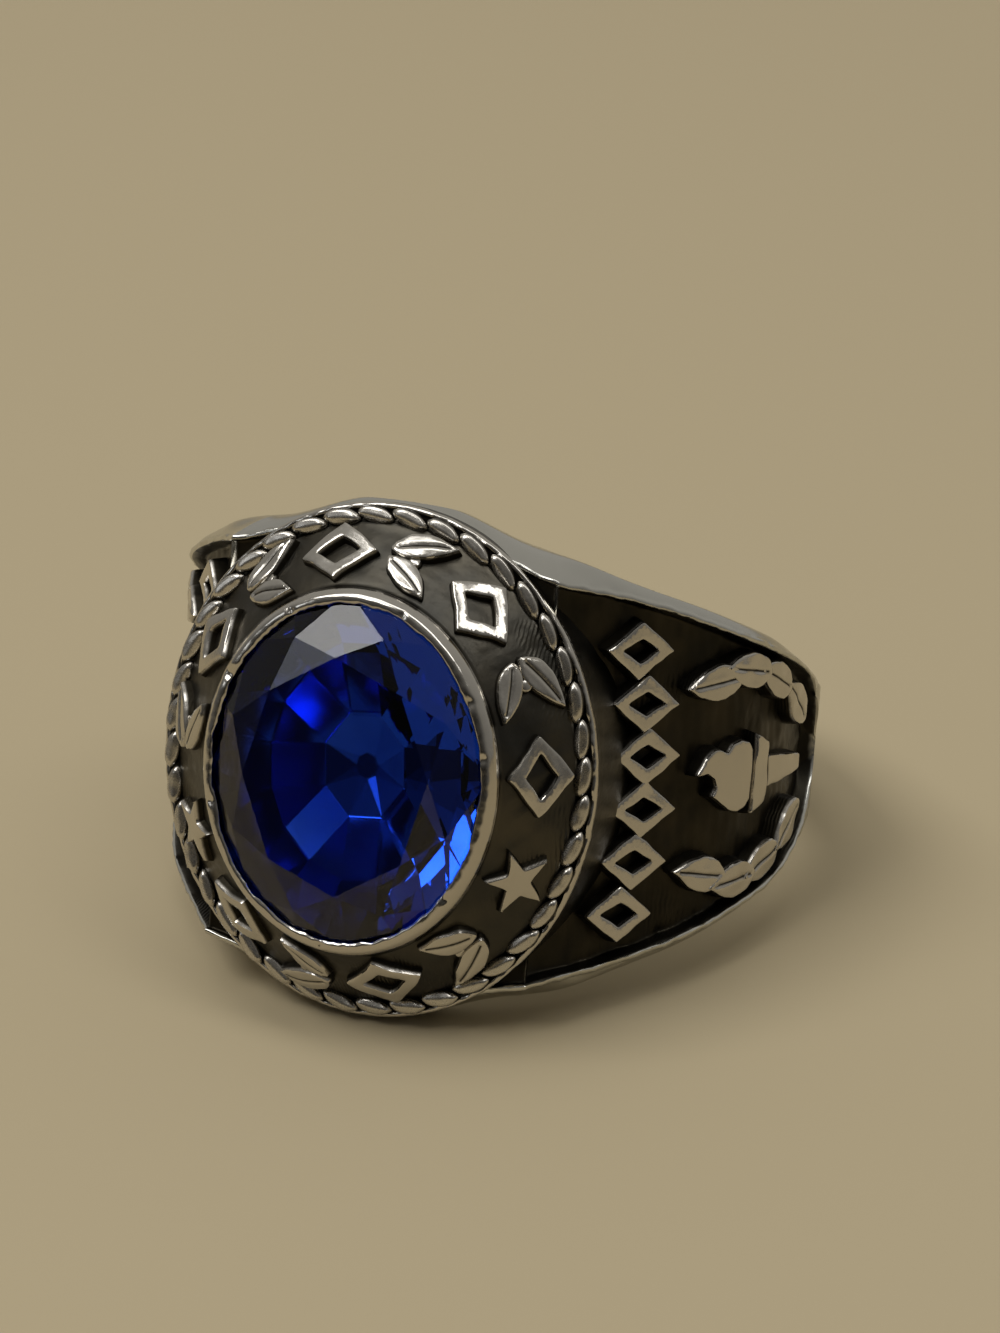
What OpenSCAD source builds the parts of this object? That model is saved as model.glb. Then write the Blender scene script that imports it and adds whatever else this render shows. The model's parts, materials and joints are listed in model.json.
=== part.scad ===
// Class ring with an oval stone, lying on its side.
// It is drawn about its finger hole: the hole runs along Z and the head faces -Y.
// The last step tips it onto its lower side wall. Heights are measured from the hole's axis.

/* [Finger hole] */
// inner diameter
finger_d = 19; // [17.5:0.25:21]
// rounding of the hole's two edges
hole_round = 0.35; // [0.2:0.05:0.5]

/* [Shank] */
// metal between the hole and the outside at each side of the finger
side_wall = 1.9; // [1.6:0.1:2.6]
// metal between the hole and the outside at the back
back_wall = 1.5; // [1.3:0.1:2]
// width of the back along the finger
back_w = 4.2; // [3.8:0.1:6]
// rounding from the outside to the side walls
side_round = 0.75; // [0.5:0.05:0.85]
// half the distance between the two shoulder corners beside the head
corner_x = 5.9; // [5.4:0.1:6.4]
// how much the worn lower and upper side walls are flattened where they rest
rest_flat = 0.22; // [0.15:0.01:0.3]

/* [Shoulder panels] */
// depth of the sunk panels
panel_depth = 0.6; // [0.3:0.05:0.9]
// width of the raised rim beside a panel
panel_rim = 0.42; // [0.25:0.05:0.7]
// angle round the hole where a panel ends, from the middle of the head
panel_end = 104; // [92:1:105]
// how far the raised work stays below the rims
relief_low = 0.08; // [0:0.02:0.2]

/* [Stone] */
// length along the finger
stone_len = 12; // [11:0.25:13]
// width across the finger
stone_wid = 10; // [9:0.25:11]
// height of the cut top above the girdle
crown_h = 1.1; // [0.8:0.05:1.5]
// thickness of the girdle
girdle_t = 0.25; // [0.2:0.05:0.4]
// depth of the cut underside below the girdle
pavilion_h = 2.9; // [2.4:0.1:3.4]
// size of the flat table as a share of the stone
table_share = 0.7; // [0.6:0.02:0.76]
// gap between the stone and its seat
seat_gap = 0.05; // [0.03:0.01:0.08]
// metal left between the stone's seat and the finger hole
seat_floor = 0.7; // [0.5:0.05:1]

/* [Head] */
// how far the bezel's lip reaches over the stone
lip_over = 0.07; // [0.05:0.01:0.12]
// how far the bezel's crest stands above the girdle
lip_h = 0.35; // [0.3:0.05:0.5]
// width of the bezel, from its inner edge to its foot
bezel_w = 0.45; // [0.4:0.05:0.7]
// height of the bezel above the sloping band
bezel_h = 0.65; // [0.4:0.05:0.8]
// width of the sloping band seen from the front
band_run = 1.8; // [1.5:0.1:2.2]
// how far the band falls from the bezel to the rope border
band_drop = 1.9; // [1.4:0.1:2.2]
// thickness of the rope border
rope_d = 0.46; // [0.4:0.02:0.6]
// number of beads in the rope border
rope_count = 40; // [32:1:48]
// width of the plain rim outside the rope border
rim_w = 0.18; // [0.16:0.02:0.4]
// how far the head's side wall swells past the rim
wall_swell = 0.1; // [0.08:0.02:0.2]

/* [Raised work] */
// height of the raised pieces on the band
relief_h = 0.34; // [0.2:0.02:0.45]
// size of the five-point stars, tip to tip
star_d = 2.35; // [1.9:0.05:2.5]
// length of a laurel leaf on the band
leaf_len = 1.9; // [1.4:0.05:2]
// width of a laurel leaf on the band
leaf_wid = 0.7; // [0.5:0.02:0.75]
// width of the raised lozenges' outline
stroke = 0.4; // [0.3:0.02:0.5]
// number of pierced lozenges in a shoulder's row
row_count = 6; // [4:1:7]
// width of a shoulder's row, round the hole
row_wid = 2.6; // [2:0.1:2.8]
// distance from a shoulder's corner to the middle of its row
row_mid = 4.1; // [3.9:0.1:4.4]
// how far the row's ends bend towards the head
row_bow = 0.9; // [0:0.1:1]
// number of leaves on each branch of the wreath
wreath_leaves = 4; // [3:1:5]
// length of the emblem's leaves
emblem_leaf = 2.3; // [1.8:0.1:2.6]
// height of the torch, round the hole
torch_len = 6.2; // [5:0.1:6.4]
// width of the torch's cup
torch_wid = 2.7; // [2:0.1:3]

/* [Hidden] */
bore_r = finger_d / 2;
side_r = bore_r + side_wall;
back_r = bore_r + back_wall;
full_turn = 360;
// overlap that joins fused pieces
fuse = 0.3;
// past the outside of everything, for cutters
clear = 30;

// heights above the axis, from the hole outwards
culet_h = bore_r + seat_floor + seat_gap;
girdle_low = culet_h + pavilion_h;
girdle_top = girdle_low + girdle_t;
table_h = girdle_top + crown_h;
crest_h = girdle_top + lip_h;
band_top_h = crest_h - bezel_h;
band_foot_h = band_top_h - band_drop;
deck_h = band_foot_h - rope_d * 0.5;
rope_h = deck_h + rope_d * 0.4;

// half sizes of the ovals, across the finger
stone_x = stone_wid / 2;
lip_x = stone_x - lip_over;
bezel_x = lip_x + bezel_w;
band_x = bezel_x + band_run;
rope_x = band_x + rope_d / 2;
groove_x = rope_x + rope_d / 2;
rim_x = groove_x + rim_w;
// what each oval has more along the finger than across it
oval_more = (stone_len - stone_wid) / 2;
head_half = rim_x + oval_more + wall_swell;
back_half = back_w / 2;

// the shoulder's outline: a level deck to the corner, then a straight line onto the shank
corner_r = norm([corner_x, deck_h]);
corner_a = atan2(corner_x, deck_h);
line_a = corner_a + acos(side_r / corner_r);

// half width along the finger, from the head (share 1) to the back (share 0)
// columns: angle from the middle of the head, share
WIDTHS = [
    [0, 1],
    [10, 0.962],
    [15, 0.915],
    [20, 0.855],
    [28, 0.77],
    [35, 0.735],
    [41, 0.701],
    [47, 0.656],
    [53, 0.608],
    [60, 0.548],
    [67, 0.48],
    [77, 0.388],
    [84, 0.318],
    [88, 0.255],
    [91, 0.198],
    [95, 0.136],
    [100, 0.066],
    [106, 0.022],
    [115, 0.007],
    [140, 0.002],
    [180, 0]
];

// the sunk panel along the shoulder
// columns: share of the way to the panel's end, share of its depth, share of its width
PANEL = [
    [0.25, 0, 1],
    [0.27, 1, 1],
    [0.86, 1, 1],
    [0.93, 1, 0.9],
    [0.97, 1, 0.76],
    [0.995, 1, 0.5],
    [1.01, 0, 0.4],
    [2.2, 0, 0.4]
];

// angles of the shank's sections on one side, from the head to the back
PANEL_STOPS = [for (p = PANEL) if (p[0] < 1.1) p[0] * panel_end];
PAST_PANEL = [6, 13, 20, 28, 37, 46, 56, 66];
half_angles = concat(
    [for (a = [0 : 5 : 15]) a],
    PANEL_STOPS,
    [corner_a],
    [for (a = [33 : 5 : 78]) a],
    [for (a = PAST_PANEL) panel_end + a],
    [171, 180]
);

function sorted(v) = len(v) < 2 ? v :
    let (m = v[floor(len(v) / 2)])
    concat(
        sorted([for (x = v) if (x < m) x]),
        [m],
        sorted([for (x = v) if (x > m) x])
    );

right_angles = sorted(half_angles);
ring_angles = concat(
    right_angles,
    [for (i = [len(right_angles) - 2 : -1 : 1]) full_turn - right_angles[i]]
);

function from_head(a) = a > 180 ? full_turn - a : a;
function smooth(t) = t <= 0 ? 0 : t >= 1 ? 1 : t * t * (3 - 2 * t);
function half_width(a) = back_half + (head_half - back_half) * lookup(from_head(a), WIDTHS);

// distance from the axis to the outside at an angle from the middle of the head
function outside(a) =
    let (b = from_head(a))
    b <= corner_a ? deck_h / cos(b) :
    b <= line_a ? side_r / cos(line_a - b) :
    side_r + (back_r - side_r) * smooth((b - line_a) / (180 - line_a));

function panel_share(a, column) =
    lookup(from_head(a) / panel_end, [for (p = PANEL) [p[0], p[column]]]);

// one half of a section through the shank: distance from the axis, distance along the finger
function half_section(a) =
    let (
        r = outside(a),
        w = half_width(a),
        rim_in = w - side_round - panel_rim,
        floor_w = rim_in * panel_share(a, 2),
        wall = panel_depth * 0.2,
        edge = hole_round * 0.3
    )
    [
        [r - panel_depth * panel_share(a, 1), floor_w - wall],
        [r, floor_w],
        [r, w - side_round],
        for (q = [30, 60, 90]) [r - side_round * (1 - cos(q)), w - side_round * (1 - sin(q))],
        [bore_r + hole_round, w],
        [bore_r + edge, w - edge],
        [bore_r - fuse, w - edge - (edge + fuse) * 1.6]
    ];

function section(a) =
    let (h = half_section(a), n = len(h))
    concat(h, [for (i = [n - 1 : -1 : 0]) [h[i][0], -h[i][1]]]);

function around(a, p) = [p[0] * sin(a), -p[0] * cos(a), p[1]];
function oval(x, h, n) = [for (i = [0 : n - 1])
    [x * cos(full_turn * i / n), -h, (x + oval_more) * sin(full_turn * i / n)]];

// a solid through closed rings of points, joined end to end where looped is true
// the rings turn clockwise when seen along the way they follow each other
module loft(rings, looped = false) {
    n = len(rings[0]);
    m = len(rings);
    spans = looped ? m : m - 1;
    sides = [for (j = [0 : spans - 1], i = [0 : n - 1])
        let (
            a = j * n + i,
            b = j * n + (i + 1) % n,
            c = ((j + 1) % m) * n + (i + 1) % n,
            d = ((j + 1) % m) * n + i
        )
        each [[a, b, c], [a, c, d]]];
    caps = looped ? [] : [
        [for (i = [n - 1 : -1 : 0]) i],
        [for (i = [0 : n - 1]) (m - 1) * n + i]
    ];
    polyhedron([for (r = rings) each r], concat(sides, caps));
}

// shank and shoulders in one sweep round the hole
module shank() {
    loft([for (a = ring_angles) [for (p = section(a)) around(a, p)]], true);
}

// oval head: plain rim, rope bed, sloping band and bezel
module head() {
    loft([
        oval(lip_x, crest_h - lip_h * 0.2, 72),
        oval(lip_x + bezel_w * 0.35, crest_h, 72),
        oval(bezel_x - bezel_w * 0.3, crest_h - bezel_h * 0.3, 72),
        oval(bezel_x, band_top_h, 72),
        oval(band_x, band_foot_h, 72),
        oval(band_x + rope_d * 0.1, deck_h, 72),
        oval(groove_x - rope_d * 0.1, deck_h, 72),
        oval(groove_x + rim_w * 0.2, deck_h + rim_w * 0.4, 72),
        oval(rim_x - rim_w * 0.3, deck_h + rim_w * 0.4, 72),
        oval(rim_x, deck_h - rim_w * 0.4, 72),
        oval(rim_x - wall_swell, deck_h - side_round, 72),
        oval(rim_x - fuse, bore_r * 0.7, 72)
    ]);
}

// the stone's seat under the bezel's lip
module seat() {
    spread = stone_x * (1 + pav_mid) / 2;
    loft([
        oval(lip_x, crest_h + fuse, 48),
        oval(lip_x, girdle_top + lip_h * 0.4, 48),
        oval(stone_x + seat_gap, girdle_top + seat_gap, 48),
        oval(stone_x + seat_gap, girdle_low - seat_gap, 48),
        oval_scaled(pav_mid, girdle_low - pavilion_h * pav_mid_h, 48),
        oval_scaled(culet_share, culet_h - seat_gap, 48)
    ]);
}

// stone proportions as shares of its half size and heights
crown_mid = table_share + (1 - table_share) * 0.47;
crown_mid_h = (1 - crown_mid * cos(22.5)) / (1 - table_share);
culet_share = 0.16;
pav_mid = 0.5;
pav_mid_h = (1 - pav_mid * cos(22.5)) / (1 - culet_share);

// an oval that is a share of the stone, with the seat's gap round it
function oval_scaled(share, h, n) = [for (i = [0 : n - 1]) [
    (stone_x * share + seat_gap) * cos(full_turn * i / n),
    -h,
    ((stone_x + oval_more) * share + seat_gap) * sin(full_turn * i / n)
]];

// a ring of the stone's corners
function corners(share, h, count, turn) = [for (i = [0 : count - 1])
    let (a = full_turn * i / count + turn)
    [stone_x * share * cos(a), -h, (stone_x + oval_more) * share * sin(a)]];

// where the half facets meet the round girdle between two of its corners
function scallop(mid, mid_h) = mid_h * (1 - cos(11.25)) / (cos(11.25) * (1 - mid));

// cut stone: table, 8 stars, 8 kites, 16 half facets, girdle, 16 half facets, 8 mains, culet
module cut_stone() {
    top_dip = scallop(crown_mid, crown_h * crown_mid_h);
    low_dip = min(scallop(pav_mid, pavilion_h * pav_mid_h), girdle_t * 0.4);
    girdle = corners(1, 0, 32, 0);
    points = concat(
        corners(table_share, table_h, 8, 0),
        corners(crown_mid, girdle_top + crown_h * crown_mid_h, 8, 22.5),
        [for (i = [0 : 31]) girdle[i] - [0, girdle_top - (i % 2) * min(top_dip, girdle_t * 0.4), 0]],
        [for (i = [0 : 31]) girdle[i] - [0, girdle_low + (i % 2) * low_dip, 0]],
        corners(pav_mid, girdle_low - pavilion_h * pav_mid_h, 8, 22.5),
        corners(culet_share, culet_h, 8, 0)
    );
    table = 0;
    stars = 8;
    top = 16;
    low = 48;
    mains = 80;
    culet = 88;
    faces = concat(
        [[for (k = [0 : 7]) table + k]],
        [for (k = [0 : 7]) let (q = (k + 1) % 8) [table + q, table + k, stars + k]],
        [for (k = [0 : 7]) let (p = (k + 7) % 8, g = top + 4 * k) each [
            [table + k, stars + p, g],
            [table + k, g, stars + k]
        ]],
        [for (k = [0 : 7]) let (g = 4 * k) each [
            [stars + k, top + g, top + g + 1],
            [stars + k, top + g + 1, top + g + 2],
            [stars + k, top + g + 2, top + g + 3],
            [stars + k, top + g + 3, top + (g + 4) % 32]
        ]],
        [for (i = [0 : 31]) let (q = (i + 1) % 32) each [
            [top + i, low + i, low + q],
            [top + i, low + q, top + q]
        ]],
        [for (k = [0 : 7]) let (g = 4 * k) each [
            [mains + k, low + g + 1, low + g],
            [mains + k, low + g + 2, low + g + 1],
            [mains + k, low + g + 3, low + g + 2],
            [mains + k, low + (g + 4) % 32, low + g + 3]
        ]],
        [for (k = [0 : 7]) let (p = (k + 7) % 8, g = low + 4 * k) each [
            [culet + k, g, mains + p],
            [culet + k, mains + k, g]
        ]],
        [for (k = [0 : 7]) let (q = (k + 1) % 8) [culet + k, culet + q, mains + k]],
        [[for (k = [7 : -1 : 0]) culet + k]]
    );
    polyhedron(points, [for (f = faces) [for (i = [len(f) - 1 : -1 : 0]) f[i]]]);
}

// one bead of the rope border, lying along X
module bead() {
    half = PI * (rope_x + oval_more / 2) / rope_count * 1.04;
    loft([for (p = [[1, 0.25], [0.55, 0.85], [-0.55, 0.85], [-1, 0.25]])
        [for (q = [0 : 60 : 300]) [p[0] * half, p[1] * rope_d / 2 * cos(q), p[1] * rope_d / 2 * sin(q)]]]);
}

// turn of each bead across the rope
rope_slant = 11;

// angle on the rope's oval that spaces the beads evenly
function even(a) = a - oval_more / (4 * rope_x + 2 * oval_more) * sin(2 * a) * 180 / PI;

// direction in which an oval's edge faces, seen from the front
function facing(x, a) = atan2(sin(a) * x, cos(a) * (x + oval_more));

module rope() {
    for (i = [0 : rope_count - 1]) {
        a = even(full_turn * (i + 0.5) / rope_count);
        translate([rope_x * cos(a), -rope_h, (rope_x + oval_more) * sin(a)])
            rotate([0, -facing(rope_x, a), 0])
            rotate([0, 90 + rope_slant, 0])
            bead();
    }
}

// a flat piece standing on the sloping band at angle a, its +X pointing up the slope
band_slope = atan2(band_drop, band_run);
band_mid_x = bezel_x + band_run * 0.5;
band_mid_h = band_top_h - band_drop * 0.5;
module on_band(a) {
    translate([band_mid_x * cos(a), -band_mid_h, (band_mid_x + oval_more) * sin(a)])
        rotate([0, -facing(band_mid_x, a), 0])
        rotate([0, 0, 90 - band_slope])
        rotate([90, 0, 0])
        rotate([0, 0, 180])
        translate([0, 0, -fuse])
        linear_extrude(fuse + relief_h) children();
}

module leaf(length, width) {
    polygon([
        [0, 0], [0.2, 0.4], [0.45, 0.5], [0.72, 0.36], [1, 0],
        [0.72, -0.36], [0.45, -0.5], [0.2, -0.4]
    ] * [[length, 0], [0, width]]);
}

module star_shape() {
    inner = 0.4;
    polygon([for (i = [0 : 9]) let (r = i % 2 == 0 ? 1 : inner)
        star_d / 2 * r * [cos(36 * i), sin(36 * i)]]);
}

module lozenge(width, height) {
    difference() {
        polygon([[width / 2, 0], [0, height / 2], [-width / 2, 0], [0, -height / 2]]);
        polygon([
            [width / 2 - stroke * 1.2, 0], [0, height / 2 - stroke * 1.2],
            [-width / 2 + stroke * 1.2, 0], [0, -height / 2 + stroke * 1.2]
        ]);
    }
}

// two leaves on a short stem
module leaf_pair() {
    for (s = [-1, 1])
        translate([-leaf_len * 0.08 * s, -leaf_len * 0.42])
        rotate(90 + s * 27)
        leaf(leaf_len, leaf_wid);
    circle(d = stroke, $fn = 16);
}

band_motif_w = band_run / cos(band_slope) * 0.82;
star_angle = 24;
upper_count = 8;
lower_count = 4;
module band_relief() {
    for (i = [0 : upper_count - 1]) {
        a = -star_angle + 17 + (180 + 2 * star_angle - 34) * (i + 0.5) / upper_count;
        on_band(a)
            if (i % 2 == 0) lozenge(band_motif_w, band_motif_w);
            else leaf_pair();
    }
    for (i = [0 : lower_count - 1]) {
        a = -star_angle - 14 - (180 - 2 * star_angle - 28) * (i + 0.5) / lower_count;
        on_band(a)
            if (i % 2 == 1) lozenge(band_motif_w, band_motif_w);
            else leaf_pair();
    }
    on_band(-star_angle) rotate(90) star_shape();
    on_band(180 + star_angle) rotate(-90) star_shape();
}

// raised work in a shoulder panel: it fills a thin shell that follows the shoulder
relief_r = side_r - relief_low;
line_len = corner_r * sin(line_a - corner_a);
row_a = line_a - atan2(line_len - row_mid, side_r);
row_half = half_width(row_a) - side_round - panel_rim;
emblem_a = 74;
module shoulder_row() {
    pitch = 2 * row_half / row_count;
    for (i = [0 : row_count - 1]) {
        w = -row_half + pitch * (i + 0.5);
        translate([row_mid - line_len - row_bow * pow(w / row_half, 2), w])
            lozenge(row_wid, pitch * 1.04);
    }
}

module wreath() {
    for (s = [-1, 1], i = [0 : wreath_leaves - 1]) {
        t = i / (wreath_leaves - 1);
        translate([torch_len * (0.55 - 0.78 * t), s * torch_wid * (0.4 + 0.92 * sin(100 * t + 8))])
            rotate(180 - s * (38 - 46 * t))
            leaf(emblem_leaf, emblem_leaf * 0.45);
    }
}

// handle, cup and flame as shares of the torch's length and width
module torch() {
    size = [[torch_len, 0], [0, torch_wid]];
    polygon([[0.48, 0.11], [0.03, 0.2], [0.03, -0.2], [0.48, -0.11]] * size);
    polygon([[0.05, 0.39], [-0.08, 0.5], [-0.08, -0.5], [0.05, -0.39]] * size);
    polygon([
        [-0.07, 0.3], [-0.19, 0.46], [-0.3, 0.31], [-0.39, 0.42],
        [-0.52, -0.04], [-0.37, -0.15], [-0.29, -0.39], [-0.18, -0.44], [-0.07, -0.3]
    ] * size);
}

module emblem() {
    wreath();
    torch();
}

module shoulder_relief() {
    rotate([0, 0, line_a - 90]) translate([side_r - panel_depth - fuse, 0, 0])
        rotate([90, 0, 90])
        linear_extrude(panel_depth + fuse - relief_low) shoulder_row();
    intersection() {
        rotate([0, 0, emblem_a - 90]) translate([side_r - panel_depth * 4, 0, 0])
            rotate([90, 0, 90])
            linear_extrude(panel_depth * 6) emblem();
        difference() {
            cylinder(r = relief_r, h = stone_len, center = true, $fn = 96);
            cylinder(r = side_r - panel_depth - fuse, h = stone_len + 1, center = true, $fn = 96);
        }
    }
}

// tilt of the finger hole when the ring rests on its side wall
rest_head_y = -(deck_h - side_round);
rest_head_z = head_half - rest_flat;
rest_back_z = back_half - rest_flat;
tilt = atan2(rest_head_z - rest_back_z, back_r - rest_head_y);
rest_height = rest_back_z * cos(tilt) + back_r * sin(tilt);

module rest_cut() {
    for (s = [-1, 1])
        translate([0, back_r, s * rest_back_z])
        rotate([s * -tilt, 0, 0])
        translate([-clear / 2, -clear, s > 0 ? 0 : -clear])
        cube([clear, clear + fuse, clear]);
}

module ring_body() {
    color("silver")
        lay_down()
        difference() {
            union() {
                shank();
                union() {
                    head();
                    rope();
                }
                band_relief();
                shoulder_relief();
                mirror([1, 0, 0]) shoulder_relief();
            }
            cylinder(r = bore_r, h = clear, center = true, $fn = 96);
            seat();
            rest_cut();
        }
}

module stone() {
    color("royalblue")
        lay_down()
        cut_stone();
}

// front and back limits of the tilted ring, which centre it on the origin
front_y = table_h * cos(tilt) + (stone_x + oval_more) * table_share * sin(tilt);
back_y = (back_r - side_round) * cos(tilt) + (back_half - side_round) * sin(tilt) + side_round;

module lay_down() {
    translate([0, (front_y - back_y) / 2, rest_height])
        rotate([-tilt, 0, 0])
        children();
}

ring_body();
stone();
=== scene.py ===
"""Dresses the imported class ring: worn cast metal, rope border, raised ornament and a cut blue stone."""

import json
import logging
import math
from collections.abc import Callable
from dataclasses import dataclass, field
from enum import Enum

import bpy
import numpy as np
from mathutils import Matrix, Vector
from mathutils.geometry import delaunay_2d_cdt


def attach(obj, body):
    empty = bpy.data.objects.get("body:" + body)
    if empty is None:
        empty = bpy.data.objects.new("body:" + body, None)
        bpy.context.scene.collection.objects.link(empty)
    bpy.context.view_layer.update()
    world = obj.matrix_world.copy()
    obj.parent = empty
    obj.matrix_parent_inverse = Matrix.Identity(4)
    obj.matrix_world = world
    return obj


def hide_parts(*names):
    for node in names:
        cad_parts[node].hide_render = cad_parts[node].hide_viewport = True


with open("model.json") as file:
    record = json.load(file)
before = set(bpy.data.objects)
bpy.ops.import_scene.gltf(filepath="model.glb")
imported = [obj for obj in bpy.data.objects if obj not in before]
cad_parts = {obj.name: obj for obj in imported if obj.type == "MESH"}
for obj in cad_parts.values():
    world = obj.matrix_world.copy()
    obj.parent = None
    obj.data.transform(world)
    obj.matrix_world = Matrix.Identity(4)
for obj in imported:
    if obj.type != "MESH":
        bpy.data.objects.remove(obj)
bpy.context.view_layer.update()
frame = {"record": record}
LOG = logging.getLogger("class_ring")
MM = 0.001
VALUE = "NodeSocketFloat"

Array = np.ndarray
Lay = Callable[[Array, Array], Array]
Triple = tuple[float, float, float]  # a place, a scale or a colour
Pattern = tuple[int, float, float]  # seed, way from crest to crest and usual height, in mm
Socket = bpy.types.NodeSocket


class Motif(Enum):
    """Ornaments that stand on the sloping band."""

    LOZENGE = "lozenge"
    LEAVES = "leaves"
    STAR = "star"


class Role(Enum):
    """Kinds of record slot that each piece is listed with."""

    METAL = "metal"
    STONE = "stone"


def smooth(t: Array) -> Array:
    """Eases 0 to 1 with level ends."""
    t = np.clip(t, 0.0, 1.0)
    return t * t * (3.0 - 2.0 * t)


def unit(v: Array) -> Array:
    """Scales vectors to length 1."""
    return v / np.maximum(np.linalg.norm(v, axis=-1, keepdims=True), 1e-12)


def linked(name: str, data: bpy.types.ID) -> bpy.types.Object:
    """Makes an object and links it to the scene.

    Args:
        name: the object's name.
        data: its mesh, light or camera.

    Returns:
        The object.
    """
    made = bpy.data.objects.new(name, data)
    bpy.context.scene.collection.objects.link(made)
    return made


def mirrored(rows: Array, sign: float = 1.0) -> Array:
    """Carries rows on, backwards, past the middle one that they start with."""
    return np.concatenate([rows, sign * rows[..., :0:-1]], -1)


def dents(points: Array, spots: list[tuple[Array, float, float]]) -> Array:
    """Depth of round dents, each given as its middle, its size and its depth."""
    return sum(deep * np.exp(-np.sum((points - spot) ** 2, -1) / (size**2 / 2)) for spot, size, deep in spots)


def uneven(points: Array, *patterns: Pattern) -> Array:
    """Gentle unevenness of hand-finished metal, the same in each run.

    Args:
        points: positions in mm, of two or three coordinates.
        patterns: for each its seed, the way from crest to crest and its usual height, in mm.

    Returns:
        One height for each point, in mm.
    """
    waves, usual_sum = 7, 2.6
    height = np.zeros(points.shape[:-1])
    for seed, size, depth in patterns:
        rng = np.random.default_rng(seed)
        total = np.zeros(points.shape[:-1])
        for _ in range(waves):
            way = unit(rng.normal(size=points.shape[-1]))
            turn = 2.0 * math.pi / (size * rng.uniform(0.6, 1.6))
            total += np.sin(points @ way * turn + rng.uniform(0.0, 6.283))
        height += depth * total / usual_sum
    return height


def oval(half: float | Array, more: float, t: float | Array) -> tuple[Array, Array]:
    """Points of an oval about the stone.

    Args:
        half: its half width across the finger.
        more: how much longer it is along the finger.
        t: angles, in radians.

    Returns:
        Two coordinates of each point, and of the direction out of the oval there.
    """
    long = half + more
    at = np.stack([half * np.cos(t), long * np.sin(t)], -1)
    return at, unit(np.stack([np.cos(t) * long, np.sin(t) * half], -1))


def oval_speed(half: float, more: float, t: float) -> float:
    """Way along the oval for each radian at an angle."""
    return math.hypot(half * math.sin(t), (half + more) * math.cos(t))


@dataclass(frozen=True)
class RestingPlace:
    """Where the ring lies: from drawing coordinates about the finger hole to the model's frame.

    In the drawing the hole runs along Z and the head faces -Y, in mm.
    """

    origin: Array
    tilt: float

    @classmethod
    def from_record(cls, record: dict) -> "RestingPlace":
        """Reads the hole's place and lean from the record's mount."""
        mount = record["mounts"][0]
        return cls(np.array(mount["pos_m"]) / MM, math.atan2(mount["axis"][1], mount["axis"][2]))

    def place(self, points: Array) -> Array:
        """Turns and moves drawing points to the model's frame.

        Args:
            points: positions in mm.

        Returns:
            Positions in metres.
        """
        c, s = math.cos(self.tilt), math.sin(self.tilt)
        x, y, z = points[..., 0], points[..., 1], points[..., 2]
        return (np.stack([x, y * c + z * s, -y * s + z * c], -1) + self.origin) * MM


@dataclass
class Shell:
    """A mesh in the making, in drawing coordinates, with two masks on its points.

    Attributes:
        points: positions in mm.
        faces: corner numbers of each face.
        recess: 1 where dark oxide gathers.
        wear: 1 where hands have rubbed the metal bright.
    """

    points: list[Array] = field(default_factory=list)
    faces: list[list[int]] = field(default_factory=list)
    recess: list[Array] = field(default_factory=list)
    wear: list[Array] = field(default_factory=list)
    count: int = 0

    def add(self, points: Array, recess: float | Array = 0.0, wear: float | Array = 0.0) -> int:
        """Adds points with their masks.

        Args:
            points: positions in mm.
            recess: recess mask that fits them.
            wear: wear mask that fits them.

        Returns:
            The number of the first point.
        """
        start = self.count
        self.points.append(points.reshape(-1, 3))
        self.recess.append(np.broadcast_to(recess, points.shape[:-1]).reshape(-1))
        self.wear.append(np.broadcast_to(wear, points.shape[:-1]).reshape(-1))
        self.count += len(self.points[-1])
        return start

    def add_grid(
        self, points: Array, recess: Array, wear: Array, close_rows: bool, close_columns: bool
    ) -> int:
        """Adds rows of points joined by four-sided faces.

        Args:
            points: positions, row by row.
            recess: mask that fits those rows.
            wear: mask that fits those rows.
            close_rows: True joins the last row to the first.
            close_columns: True joins each row's ends.

        Returns:
            The number of the first point.
        """
        start = self.add(points, recess, wear)
        rows, columns = points.shape[:2]
        i, j = np.meshgrid(
            np.arange(rows - (not close_rows)), np.arange(columns - (not close_columns)), indexing="ij"
        )
        below, beside = (i + 1) % rows, (j + 1) % columns
        corners = ((i, j), (i, beside), (below, beside), (below, j))
        faces = np.stack([start + row * columns + column for row, column in corners], -1)
        self.faces.extend(faces.reshape(-1, 4).tolist())
        return start

    def build(self, name: str, place: RestingPlace, sharp: float | None) -> bpy.types.Object:
        """Makes the Blender object.

        Args:
            name: the piece's name.
            place: where the ring lies.
            sharp: edges that bend more than this many degrees are shaded as sharp, or None for facets.

        Returns:
            The object, linked to the scene.
        """
        mesh = bpy.data.meshes.new(name)
        mesh.from_pydata(place.place(np.concatenate(self.points)).tolist(), [], self.faces)
        for label, parts in (("recess", self.recess), ("wear", self.wear)):
            mask = mesh.attributes.new(label, "FLOAT", "POINT")
            mask.data.foreach_set("value", np.concatenate(parts).astype(np.float32))
        mesh.validate()
        mesh.update()
        if sharp is None:
            mesh.shade_flat()
        else:
            mesh.shade_smooth()
            mesh.set_sharp_from_angle(angle=math.radians(sharp))
        return linked(name, mesh)


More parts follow.
